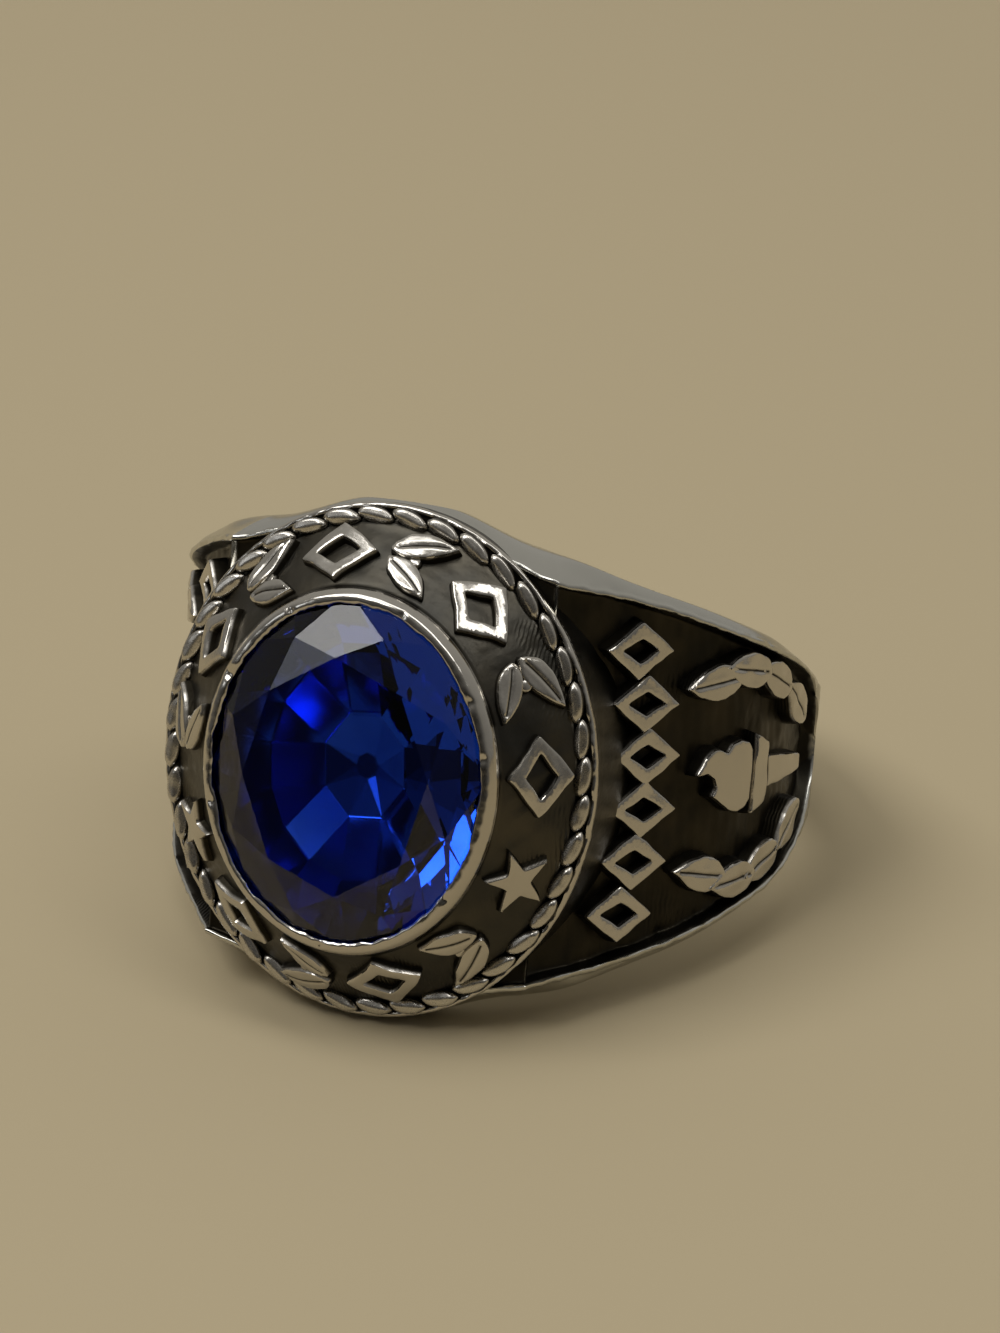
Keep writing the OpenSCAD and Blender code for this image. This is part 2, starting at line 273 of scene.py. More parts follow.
@dataclass
class Shank:
    """Hoop and shoulders: a section carried round the finger hole, with sunk shoulder panels.

    Attributes:
        hidden_x: half width of the oval under the head where the outside is cut away, out of sight.
        hidden_w: half length of that oval.
        cast: pattern of the whole outside.
        polish: pattern of the rims and edges.
        ground: patterns of the sunk panels.
        ragged: patterns of the rims' worn outlines.
        widths: for angles from the head, the share of the way from the back's half width to the head's.
        knocks: for each small dent in the rims its angle, its place along the finger, its size and its depth.
    """

    bore_r: float = 9.5
    hole_round: float = 0.35
    side_r: float = 11.4
    back_r: float = 11.0
    back_half: float = 2.1
    head_half: float = 8.92
    corner_x: float = 5.9
    deck_h: float = 10.97
    rest_flat: float = 0.25
    panel_depth: float = 0.6
    deck_sink: float = 0.35
    panel_rim: float = 0.2
    panel_end: float = 104.0
    edge_in: float = 0.5
    edge_swell: float = 0.45
    hidden_x: float = 7.0
    hidden_w: float = 7.9
    cast: Pattern = (3, 5.5, 0.025)
    polish: Pattern = (5, 0.9, 0.016)
    ground: tuple[Pattern, ...] = ((7, 1.6, 0.045), (8, 0.55, 0.018))
    ragged: tuple[Pattern, ...] = ((11, 0.8, 0.03), (12, 0.33, 0.014))
    widths: tuple[tuple[float, float], ...] = (
        (0, 1), (10, 0.962), (15, 0.915), (20, 0.855), (28, 0.77), (35, 0.735), (41, 0.701), (47, 0.656),
        (53, 0.608), (60, 0.548), (67, 0.48), (77, 0.388), (84, 0.318), (88, 0.255), (91, 0.198),
        (95, 0.136), (100, 0.066), (106, 0.022), (115, 0.007), (140, 0.002), (180, 0),
    )
    knocks: tuple[tuple[float, float, float, float], ...] = (
        (99.0, 2.3, 0.4, 0.26), (52.0, 6.2, 0.22, 0.08), (71.0, 5.2, 0.3, 0.07), (40.0, 7.0, 0.2, 0.06),
        (-63.0, 5.7, 0.3, 0.08), (-88.0, 3.4, 0.25, 0.1), (60.0, -5.9, 0.25, 0.07), (-45.0, -6.7, 0.3, 0.08),
    )

    def __post_init__(self) -> None:
        """Works out the corner beside the head, the end of the shoulder's straight line and the widths."""
        reach = math.hypot(self.corner_x, self.deck_h)
        self.corner_a = math.degrees(math.atan2(self.corner_x, self.deck_h))
        self.line_a = self.corner_a + math.degrees(math.acos(self.side_r / reach))
        self.line_len = reach * math.sin(math.radians(self.line_a - self.corner_a))
        self.fine_a = np.arange(0.0, 181.0, 0.5)
        self.fine_share = np.interp(self.fine_a, *np.array(self.widths, float).T)
        window = np.ones(13) / 13.0
        for _ in range(3):
            padded = np.pad(self.fine_share, len(window) // 2, mode="reflect")
            self.fine_share = np.convolve(padded, window, mode="valid")

    def half_width(self, a: Array) -> Array:
        """Half the ring's width along the finger at an angle from the head, in degrees."""
        share = np.interp(np.abs(a), self.fine_a, self.fine_share)
        return self.back_half + (self.head_half - self.back_half) * share

    def outside(self, a: Array) -> Array:
        """Distance from the hole's axis to the outside.

        Args:
            a: angles from the head, in degrees.

        Returns:
            One distance for each angle, in mm.
        """
        b = np.abs(a)
        deck = self.deck_h / np.cos(np.radians(np.minimum(b, 80.0)))
        line = self.side_r / np.cos(np.radians(self.line_a - b))
        back = self.side_r + (self.back_r - self.side_r) * smooth((b - self.line_a) / (180.0 - self.line_a))
        return np.where(b <= self.corner_a, deck, np.where(b <= self.line_a, line, back))

    def angles(self) -> Array:
        """Angles of the sections, close together at the shoulders and exact at the corners.

        Returns:
            Degrees from the head, once round.
        """
        half = np.concatenate([np.arange(0.0, 104.0, 0.5), np.arange(104.0, 180.0, 1.5)])
        beside = [0.1, 0.22, 0.38, 0.6, 0.9]
        near = self.corner_a + np.array([-d for d in beside] + [0.0] + beside)
        half = np.sort(np.concatenate([half[np.abs(half - self.corner_a) > 1.1], near]))
        return np.concatenate([half, [180.0], -half[:0:-1]])

    def panel(self, a: Array) -> tuple[Array, Array]:
        """Depth and width of the sunk panel.

        Args:
            a: angles from the head, in degrees.

        Returns:
            Shares of its full depth and of its full width.
        """
        past = np.abs(a) - self.corner_a
        t = past / (self.panel_end - self.corner_a)
        width = np.where(t > 0.8, np.sqrt(np.clip(1.0 - ((t - 0.8) / 0.2) ** 2.6, 0.02, 1.0)), 1.0)
        deck = self.deck_sink * np.clip((np.abs(a) - 12.0) / 4.0, 0.0, 1.0)
        depth = deck + (1.0 - self.deck_sink) * np.clip(past / 0.5, 0.0, 1.0)
        return depth * np.clip((1.0 - t) / 0.012, 0.0, 1.0), width

    def edges(self, a: Array) -> tuple[Array, Array]:
        """Place of the crisp outer edge and of the wall past it.

        Args:
            a: angles from the head, in degrees.

        Returns:
            How far the edge lies inside the full width, and how far the wall swells past it.
        """
        b = np.abs(a)
        behind = smooth((b - 104.0) / 22.0)
        inset = self.edge_in - 0.38 * smooth((b - 80.0) / 22.0) * (1.0 - behind)
        slimmer = 0.13 * smooth((b - 28.0) / 14.0) + 0.22 * smooth((b - 76.0) / 14.0)
        return inset, self.edge_swell - slimmer + 0.4 * behind + 0.2 * np.exp(-(((b - 33.0) / 9.0) ** 2))

    def crease(self, a: Array, half: Array) -> Array:
        """Share of the panel's depth that the fold beside the head fills, less on the lower side."""
        near = np.exp(-(((np.abs(a) - self.corner_a) / 0.2) ** 2))[:, None]
        return near * (0.3 + 0.65 * smooth((half - 2.0) / 4.0))

    def rest_plane(self, y: Array, tilt: float) -> Array:
        """Distance along the finger of the worn flat that the ring lies on."""
        return self.back_half - self.rest_flat + (self.back_r - y) * math.tan(tilt)

    def section(self, a: Array, depth: Array, width: Array) -> list[tuple[Array, Array, float, float]]:
        """Lines of points round the hoop, from the panel's middle to the finger hole's.

        Args:
            a: angles of the sections.
            depth: share of the panel's depth at each.
            width: share of its width at each.

        Returns:
            For each line its distance from the axis, its place along the finger, its recess and its wear.
        """
        r, sink = self.outside(a), self.panel_depth * depth
        inset, bulge = self.edges(a)
        lip = self.half_width(a) - inset
        pin = np.maximum(lip - self.panel_rim, 0.4) * width
        foot = pin - 0.1 * depth
        rows = [(r - sink, (foot - 0.14) * k / 14.0, 1.0, 0.0) for k in range(15)]
        rows += [
            (r - sink * 0.985, foot - 0.07, 1.0, 0.0),
            (r - sink * 0.93, foot - 0.02, 1.0, 0.0),
            (r - sink * 0.8, foot, 1.0, 0.0),
            (r - sink * 0.45, foot + 0.05 * depth, 1.0, 0.0),
            (r - np.minimum(sink, 0.1), pin - 0.015, 0.75, 0.1),
            (r - np.minimum(sink, 0.035), pin + 0.01, 0.3, 0.8),
            (r, pin + 0.04, 0.25, 0.9),
            (r, pin + 0.04 + (lip - pin - 0.16) * 0.3, 0.22, 0.6),
            (r, pin + 0.04 + (lip - pin - 0.16) * 0.6, 0.22, 0.6),
            (r, lip - 0.12, 0.05, 0.9),
            (r - 0.015, lip - 0.065, 0.0, 1.0),
            (r - 0.045, lip - 0.025, 0.0, 1.0),
            (r - 0.1, lip, 0.0, 1.0),
        ]
        beside = smooth((np.abs(a) - 26.0) / 14.0)
        crest, drop = 0.8 - 0.5 * beside, 0.02 + 0.38 * beside
        low = self.bore_r + self.hole_round
        for k in np.linspace(0.03, 1.0, 22):
            rise = bulge * np.sin(math.pi / 2 * np.minimum(k / crest, 1.0))
            fall = drop * (np.maximum(k - crest, 0.0) / (1.0 - crest)) ** 1.3
            rows.append(((r - 0.1) * (1 - k) + low * k, lip + rise - fall, 0.0, 0.15))
        last = lip + bulge - drop
        for q in np.radians([22.5, 45.0, 67.5, 90.0]):
            drop_in, back_in = self.hole_round * math.sin(q), self.hole_round * (1 - math.cos(q))
            rows.append((low - drop_in, last - back_in, 0.0, 0.6))
        for k in (0.985, 0.95, 0.83, 0.65, 0.47, 0.3, 0.1):
            rows.append((self.bore_r, (last - self.hole_round) * k, 0.2, 0.1))
        return rows

    def shell(self, place: RestingPlace) -> Shell:
        """Builds the hoop's mesh.

        Args:
            place: where the ring lies, for the worn flats.

        Returns:
            A closed shell.
        """
        a = self.angles()
        depth, width = self.panel(a)
        radius, half, dark, rub = (
            np.stack(np.broadcast_arrays(*part), -1) for part in zip(*self.section(a, depth, width))
        )
        radius, half, dark, rub = mirrored(radius), mirrored(half, -1.0), mirrored(dark), mirrored(rub)
        fold, ground = self.crease(a, half), dark > 0.9
        radius = radius + self.panel_depth * depth[:, None] * fold * ground
        turn = np.radians(a)[:, None]
        radial = np.stack([np.sin(turn), -np.cos(turn), 0 * turn], -1)
        under = (radius * np.sin(turn) / self.hidden_x) ** 2 + (half / self.hidden_w) ** 2 < 1.0
        under = under & (np.cos(turn) > 0.6) & (radius > self.bore_r + 0.3)
        radius = np.where(under, self.bore_r + 0.22, radius)
        points = radial * radius[..., None]
        points[..., 2] = half
        outer = np.clip((radius - self.bore_r - 0.6) / 0.6, 0.0, 1.0)
        face = (rub > 0.3) * outer
        sunk = np.clip(depth, 0.0, 1.0)[:, None] * ground
        swell = (uneven(points, self.cast) - 0.06) * outer + uneven(points, self.polish) * face
        swell = swell + uneven(points, *self.ground) * sunk
        points = points + radial * swell[..., None]
        spots = [(self.spot(angle, w), size, deep) for angle, w, size, deep in self.knocks]
        chip = dents(points, spots) * face
        ragged = uneven(points, *self.ragged) * 0.6 * face
        points[..., 2] += np.where(np.abs(half) > 2.0, np.sign(half) * (ragged - chip), 0.0)
        points -= radial * (chip * 0.5)[..., None]
        limit = self.rest_plane(points[..., 1], place.tilt)
        points[..., 2] = np.clip(points[..., 2], -limit, limit)
        recess = dark * np.clip(depth * 3.0, 0.12, 1.0)[:, None] * (1 - fold)
        recess = np.where(radius < self.bore_r + 0.3, 0.15, recess)
        shell = Shell()
        shell.add_grid(points, recess, np.maximum(rub, fold * ground), True, True)
        return shell

    def spot(self, angle: float, w: float) -> Array:
        """A point of the outside, at an angle from the head and a place along the finger."""
        r, q = float(self.outside(np.array([angle]))[0]), math.radians(angle)
        return np.array([r * math.sin(q), -r * math.cos(q), w])

    def on_shoulder(self, side: int) -> Lay:
        """Gives the shoulder as a surface to stand ornament on.

        Args:
            side: 1 for the right shoulder, -1 for the left.

        Returns:
            A function from (way from the corner, way along the finger) and height to drawing points.
        """

        def lay(flat: Array, height: Array) -> Array:
            """Lays flat points on the shoulder.

            Args:
                flat: way from the corner and way along the finger, in mm.
                height: heights over the rims.

            Returns:
                Drawing points.
            """
            s, w = flat[..., 0], flat[..., 1]
            line = math.radians(self.line_a)
            a = line + np.maximum(s - self.line_len, 0.0) / self.side_r
            r = self.outside(np.degrees(a)) + height
            along = np.minimum(s - self.line_len, 0.0)
            x, y = r * np.sin(a) + along * math.cos(line), -r * np.cos(a) + along * math.sin(line)
            return np.stack([side * x, y, w], -1)

        return lay


@dataclass
class Head:
    """Oval head turned about the stone: seat, bezel, sloping band, rope bed, rim and wall.

    Attributes:
        band_wave: patterns of the sloping band.
        rim_wave: patterns of the outer rim and wall.
        crest_wave: patterns of the bezel's top.
        lip_wave: patterns of the bezel's outline beside the stone.
        nicks: for each small dent in the bezel its angle, its size and its depth.
    """

    oval_more: float = 0.87
    seat_more: float = 1.0
    seat_x: float = 5.05
    lip_x: float = 4.76
    bezel_x: float = 5.24
    band_x: float = 7.18
    groove_x: float = 7.64
    rim_x: float = 7.82
    crest_h: float = 13.75
    band_top_h: float = 13.1
    band_foot_h: float = 11.2
    deck_h: float = 10.97
    girdle_low: float = 13.15
    girdle_top: float = 13.4
    steps: int = 432
    spacing: float = 0.13
    band_wave: tuple[Pattern, ...] = ((21, 1.3, 0.022), (22, 0.45, 0.008))
    rim_wave: tuple[Pattern, ...] = ((24, 0.8, 0.022), (25, 0.3, 0.012))
    crest_wave: tuple[Pattern, ...] = ((26, 1.6, 0.012), (27, 0.5, 0.004))
    lip_wave: tuple[Pattern, ...] = ((28, 1.1, 0.03), (29, 0.35, 0.012))
    nicks: tuple[tuple[float, float, float], ...] = (
        (152, 0.3, 0.16), (31, 0.24, 0.08), (71, 0.16, 0.07), (118, 0.18, 0.07), (-38, 0.24, 0.08),
        (-95, 0.18, 0.09), (196, 0.2, 0.08), (12, 0.16, 0.07),
    )

    def __post_init__(self) -> None:
        """Works out the band's slope and middle."""
        self.slope = math.atan2(self.band_top_h - self.band_foot_h, self.band_x - self.bezel_x)
        self.mid_x = (self.bezel_x + self.band_x) / 2
        self.mid_h = (self.band_top_h + self.band_foot_h) / 2

    def profile(self) -> Array:
        """Corners of the turned profile.

        Returns:
            For each its half width across the finger, its height, its rounding, its recess and its wear.
        """
        return np.array([
            (self.seat_x, self.girdle_low - 0.3, 0.0, 1.0, 0.0),
            (self.seat_x, self.girdle_top + 0.08, 0.05, 1.0, 0.0),
            (self.seat_x - 0.06, self.girdle_top + 0.1, 0.02, 1.0, 0.0),
            (self.lip_x + 0.05, self.crest_h - 0.1, 0.01, 1.0, 0.0),
            (self.lip_x, self.crest_h - 0.06, 0.02, 0.3, 0.6),
            (self.lip_x + 0.08, self.crest_h, 0.07, 0.0, 1.0),
            (self.lip_x + 0.3, self.crest_h - 0.03, 0.14, 0.0, 1.0),
            (self.bezel_x + 0.01, self.crest_h - 0.34, 0.12, 0.25, 0.3),
            (self.bezel_x + 0.05, self.band_top_h + 0.03, 0.12, 1.0, 0.0),
            (self.bezel_x + 0.2, self.band_top_h - 0.1, 0.1, 1.0, 0.0),
            (self.band_x - 0.12, self.band_foot_h + 0.12, 0.1, 0.9, 0.0),
            (self.band_x + 0.02, self.band_foot_h - 0.02, 0.06, 0.8, 0.1),
            (self.band_x + 0.07, self.deck_h + 0.02, 0.06, 1.0, 0.0),
            (self.groove_x - 0.05, self.deck_h + 0.02, 0.05, 1.0, 0.0),
            (self.groove_x + 0.02, self.deck_h + 0.1, 0.03, 0.4, 0.6),
            (self.rim_x - 0.05, self.deck_h + 0.09, 0.05, 0.0, 1.0),
            (self.rim_x, self.deck_h - 0.02, 0.05, 0.2, 0.7),
            (self.rim_x - 0.03, self.deck_h - 0.25, 0.1, 0.8, 0.0),
            (self.rim_x - 0.08, self.deck_h - 0.8, 0.1, 1.0, 0.0),
        ])

    def traced(self) -> Array:
        """Rounds the profile's corners and adds points between them.

        Returns:
            Half width, height, recess and wear of each point.
        """
        knots = self.profile()
        line = [knots[0, [0, 1, 3, 4]]]
        for back, here, ahead in zip(knots, knots[1:], knots[2:]):
            legs = [other[:2] - here[:2] for other in (back, ahead)]
            lengths = [np.linalg.norm(leg) for leg in legs]
            cut = min(here[2], *(length * 0.45 for length in lengths))
            start, end = (here[:2] + leg / length * cut for leg, length in zip(legs, lengths))
            for t in (0.0, 0.33, 0.67, 1.0):
                spot = (1 - t) ** 2 * start + 2 * t * (1 - t) * here[:2] + t * t * end
                line.append(np.array([*spot, *here[3:]]))
        line.append(knots[-1, [0, 1, 3, 4]])
        dense: list[Array] = []
        for p, q in zip(line, line[1:]):
            n = max(1, math.ceil(float(np.linalg.norm(q[:2] - p[:2])) / self.spacing))
            dense.extend(p + (q - p) * k / n for k in range(n))
        return np.array([*dense, line[-1]])

    def shell(self, shank: Shank, tilt: float) -> Shell:
        """Builds the head's mesh.

        Args:
            shank: the hoop that carries it.
            tilt: how far the ring leans where it lies, in radians.

        Returns:
            An open shell whose lowest line is buried in the hoop.
        """
        across, height, dark, rub = self.traced().T
        t = np.linspace(0.0, 2 * math.pi, self.steps, endpoint=False)[:, None]
        seat = (height < self.girdle_top + 0.11) & (across < self.seat_x + 0.01)
        along = across + np.where(seat, self.seat_more, self.oval_more)
        points = np.stack([across * np.cos(t), 0 * t - height, along * np.sin(t)], -1)
        band = np.clip((across - 5.5) / 0.2, 0, 1) * np.clip((7.1 - across) / 0.2, 0, 1)
        rim = (across > self.groove_x - 0.02) * 1.0
        crest = 1.0 * (height > self.crest_h - 0.4) * ~seat
        for part, patterns in ((band, self.band_wave), (rim, self.rim_wave), (crest, self.crest_wave)):
            points[..., 1] -= uneven(points, *patterns) * part
        lip = np.clip(1.0 - (across - self.lip_x) / 0.3, 0.0, 1.0) * (height > self.crest_h - 0.2) * ~seat
        push = uneven(points, *self.lip_wave) * lip
        points += np.stack([push * np.cos(t), 0 * push, push * np.sin(t)], -1)
        worn = (self.lip_x + self.bezel_x) / 2 - 0.05
        for angle, size, deep in self.nicks:
            x, w = oval(worn, self.oval_more, math.radians(angle))[0]
            points[..., 1] += dents(points, [(np.array([x, -self.crest_h, w]), size, deep)]) * crest
        buried = (shank.bore_r + 0.3) ** 2 - (self.rim_x - 0.12) ** 2 * np.cos(t[:, 0]) ** 2
        skirt = points[:, -1].copy()
        skirt[:, 1] = -np.minimum(np.sqrt(np.maximum(buried, 0.0)), self.deck_h - 1.0)
        points = np.concatenate([points, (points[:, -1:] + skirt[:, None]) / 2, skirt[:, None]], 1)
        limit = shank.rest_plane(points[..., 1], tilt) - 0.05
        points[..., 2] = np.clip(points[..., 2], -limit, limit)
        shell = Shell()
        shell.add_grid(points, np.append(dark, [1.0, 1.0]), np.append(rub, [0.0, 0.0]), True, False)
        return shell

    def on_band(self, angle: float) -> Lay:
        """Gives the sloping band as a surface to stand ornament on.

        Args:
            angle: where the ornament's middle stands, in degrees round the oval.

        Returns:
            A function from (way up the slope, way along the band) and height to drawing points.
        """
        middle = math.radians(angle)
        side, up = math.sin(self.slope), math.cos(self.slope)
        speed = oval_speed(self.mid_x, self.oval_more, middle)

        def lay(flat: Array, height: Array) -> Array:
            """Lays flat points on the band.

            Args:
                flat: way up the slope and way along the band, in mm.
                height: heights over the band.

            Returns:
                Drawing points.
            """
            at, out = oval(self.mid_x - flat[..., 0] * up, self.oval_more, middle - flat[..., 1] / speed)
            at = at + out * np.expand_dims(height, -1) * side
            return np.stack([at[..., 0], -(self.mid_h + flat[..., 0] * side + height * up), at[..., 1]], -1)

        return lay


@dataclass
class RopeBorder:
    """Worn beads, end to end in their bed round the band."""

    rope_x: float = 7.41
    oval_more: float = 0.87
    rope_h: float = 11.154
    thick: float = 0.56
    count: int = 40
    slant: float = 13.0
    along_n: int = 21
    round_n: int = 20
    seed: int = 31
    wave: Pattern = (33, 0.6, 0.007)

    def even(self, share: float) -> float:
        """Angle on the oval, in radians, after a share of the whole way round."""
        a = 2 * math.pi * share
        return a - self.oval_more / (4 * self.rope_x + 2 * self.oval_more) * math.sin(2 * a)

    def shell(self) -> Shell:
        """Builds all beads as one mesh.

        Returns:
            A shell of beads, each open by a hair at its ends.
        """
        rng = np.random.default_rng(self.seed)
        shell = Shell()
        length = 2 * math.pi * (self.rope_x + self.oval_more / 2) / self.count
        u = (np.sin(np.linspace(-math.pi / 2, math.pi / 2, self.along_n)) * 0.999)[:, None]
        body = (1 - np.abs(u) ** 2.5) ** 0.75
        q = np.linspace(0, 2 * math.pi, self.round_n, endpoint=False)
        for i in range(self.count):
            middle = self.even((i + 0.5) / self.count)
            half = length / 2 * rng.uniform(1.07, 1.14)
            slant = math.tan(math.radians(self.slant + rng.uniform(-3.0, 3.0)))
            fat = rng.uniform(0.93, 1.04)
            flat = rng.uniform(0.42, 0.6)
            across = body * np.cos(q) * self.thick * 0.5 * fat + u * half * slant * 0.8
            worn_top = flat + 0.25 * (1 - np.abs(np.cos(q)))
            rise = np.minimum(body * np.sin(q) * 1.15, worn_top) * self.thick * 0.5
            way = u * half / oval_speed(self.rope_x, self.oval_more, middle)
            at, out = oval(self.rope_x, self.oval_more, middle + way + 0 * q)
            at = at + out * across[..., None]
            points = np.stack([at[..., 0], -(self.rope_h + rise), at[..., 1]], -1)
            points[..., 1] -= uneven(points, self.wave) * (np.sin(q) > 0.1)
            wear = smooth((np.sin(q) - 0.1) / 0.6) * smooth(body * 2.5)
            shell.add_grid(points, 1 - wear, wear, False, True)
        return shell


@dataclass
class RaisedPiece:
    """A flat-topped piece of raised work with steep walls and a rubbed edge.

    Attributes:
        loops: outline first, anticlockwise, then its openings, clockwise, in mm.
        crease: two ends of a groove in the top, or None.
        top: height of its top over the surface that carries it.
        foot: height of its hidden foot.
        bevel: how far the rubbed edge reaches in.
        draft: how far the foot reaches out.
        spacing: usual distance between points.
        vein: half width and depth of the groove, and half width and height of the swell about it.
        seed: picks the small unevenness.
    """

    loops: list[Array]
    crease: Array | None
    top: float
    foot: float
    bevel: float = 0.055
    draft: float = 0.09
    spacing: float = 0.11
    vein: tuple[float, float, float, float] = (0.065, 0.07, 0.3, 0.03)
    seed: int = 0

    def softened(self, loop: Array) -> Array:
        """Rounds an outline's corners a little and adds points along its sides.

        Args:
            loop: its corners.

        Returns:
            The denser outline, slightly uneven.
        """
        cut: list[Array] = []
        for back, here, ahead in zip(np.roll(loop, 1, 0), loop, np.roll(loop, -1, 0)):
            room = min(np.linalg.norm(back - here), np.linalg.norm(ahead - here))
            near = min(0.07, room * 0.3)
            start, end = here + unit(back - here) * near, here + unit(ahead - here) * near
            cut.extend([start, 0.25 * start + 0.5 * here + 0.25 * end, end])
        dense: list[Array] = []
        for p, q in zip(cut, cut[1:] + cut[:1]):
            k = max(1, math.ceil(float(np.linalg.norm(q - p)) / self.spacing))
            dense.extend(p + (q - p) * j / k for j in range(k))
        line, shake = np.array(dense), (40 + self.seed, 0.9, 0.016)
        return line + np.stack([uneven(line + 3.0, shake), uneven(line[:, ::-1] * 1.1 + 9.0, shake)], -1)

    @staticmethod
    def moved(loop: Array, out: float) -> Array:
        """Moves an outline outwards, or inwards where out is negative.

        Args:
            loop: the outline.
            out: how far, in mm.

        Returns:
            The moved outline.
        """
        sides = unit(loop - np.roll(loop, 1, 0)), unit(np.roll(loop, -1, 0) - loop)
        back, ahead = (np.stack([side[:, 1], -side[:, 0]], -1) for side in sides)
        middle = unit(back + ahead)
        return loop + middle * out / np.maximum(np.sum(middle * ahead, -1, keepdims=True), 0.45)

    @staticmethod
    def inside(flat: Array, loops: list[Array]) -> Array:
        """Tells which flat points lie on the piece.

        Args:
            flat: points to test.
            loops: the outline and the openings.

        Returns:
            True for each point between them.
        """
        hit = np.zeros(len(flat), bool)
        for a in loops:
            b, y = np.roll(a, -1, 0), flat[:, 1][:, None]
            crosses = (a[:, 1] > y) != (b[:, 1] > y)
            rise = np.where(np.abs(b[:, 1] - a[:, 1]) < 1e-12, 1e-12, b[:, 1] - a[:, 1])
            at = a[:, 0] + (y - a[:, 1]) / rise * (b[:, 0] - a[:, 0])
            hit ^= np.sum(crosses & (flat[:, 0][:, None] < at), 1) % 2 == 1
        return hit

    def top_wave(self, flat: Array) -> Array:
        """Slight unevenness of the top."""
        return uneven(flat, (60 + self.seed, 1.4, 0.02))

    def add_to(self, shell: Shell, lay: Lay) -> None:
        """Adds the piece to a mesh.

        Args:
            shell: the mesh in the making.
            lay: lays flat points at heights on the surface that carries it.
        """
        outs = (self.draft, self.draft * 0.35, 0.0, -self.bevel * 0.35, -self.bevel)
        drops = (self.top - self.foot, 0.2, self.bevel * 1.3, self.bevel * 0.35, 0.0)
        masks = (1.0, 1.0, 0.6, 0.0, 0.0), (0.0, 0.0, 0.5, 1.0, 1.0)
        dark, rub = (np.array(mask)[:, None] for mask in masks)
        rims: list[Array] = []
        numbers: list[int] = []
        for loop in (self.softened(loop) for loop in self.loops):
            rings = [self.moved(loop, out) for out in outs]
            walls = [
                lay(ring, self.top - drop + (self.top_wave(ring) if k > 1 else np.zeros(len(ring))))
                for k, (ring, drop) in enumerate(zip(rings, drops))
            ]
            start = shell.add_grid(np.stack(walls), dark, rub, False, True)
            rims.append(rings[-1])
            numbers.extend(range(start + (len(outs) - 1) * len(loop), start + len(outs) * len(loop)))
        self.cover(shell, lay, rims, numbers)

    def top_points(self, rims: list[Array]) -> Array:
        """Points of the top between its rims, also along its groove.

        Args:
            rims: the top's outline and openings.

        Returns:
            Flat points.
        """
        border = np.concatenate(rims)
        low, high = border.min(0), border.max(0)
        step = self.spacing * (0.6 if self.crease is not None else 1.0)
        gx, gy = np.meshgrid(np.arange(low[0], high[0], step), np.arange(low[1], high[1], step))
        grid = np.stack([gx + 0.35 * step * (np.arange(gx.shape[0]) % 2)[:, None], gy], -1).reshape(-1, 2)
        grid = grid[self.inside(grid, rims)]
        if self.crease is not None:
            start, end = self.crease
            count = max(4, round(float(np.linalg.norm(end - start)) / (0.8 * step)))
            vein = start + (end - start) * np.linspace(0.0, 1.0, count)[:, None]
            vein = vein[self.inside(vein, rims)]
            apart = np.linalg.norm(grid[:, None] - vein[None], axis=-1).min(1)
            grid = np.concatenate([grid[apart > 0.6 * step], vein])
        if len(grid):
            grid = grid[np.min(np.linalg.norm(grid[:, None] - border[None], axis=-1), 1) > step * 0.45]
        return grid

    def cover(self, shell: Shell, lay: Lay, rims: list[Array], numbers: list[int]) -> None:
        """Closes the top between its rims.

        Args:
            shell: the mesh in the making.
            lay: lays flat points at heights on the surface that carries it.
            rims: the top's outline and openings.
            numbers: the mesh's point numbers of those rims.
        """
        grid = self.top_points(rims)
        flat = np.concatenate([*rims, grid])
        edges: list[tuple[int, int]] = []
        for rim in rims:
            first = len(edges)
            edges.extend((first + j, first + (j + 1) % len(rim)) for j in range(len(rim)))
        made = delaunay_2d_cdt([Vector(p) for p in flat.tolist()], edges, [], 0, 1e-7)
        origin = np.array([ids[0] if ids else -1 for ids in made[3]])
        tris = origin[np.array([list(face) for face in made[2]])]
        tris = tris[(tris >= 0).all(1)]
        tris = tris[self.inside(flat[tris].mean(1), rims)]
        if len(grid):
            height, rub, dark = self.top + self.top_wave(grid), np.full(len(grid), 0.55), np.zeros(len(grid))
            if self.crease is not None:
                start, end = self.crease
                way = end - start
                t = np.clip(((grid - start) @ way) / (way @ way), 0.0, 1.0)
                off = np.linalg.norm(grid - (start + t[:, None] * way), axis=-1)
                narrow, deep, wide, high = self.vein
                cut = np.exp(-((off / narrow) ** 2))
                height = height - deep * cut + high * np.exp(-((off / wide) ** 2))
                rub, dark = rub * (1 - cut), 0.9 * cut
            base = shell.add(lay(grid, height), dark, rub)
            numbers = numbers + list(range(base, base + len(grid)))
        shell.faces.extend(np.array(numbers)[tris].tolist())


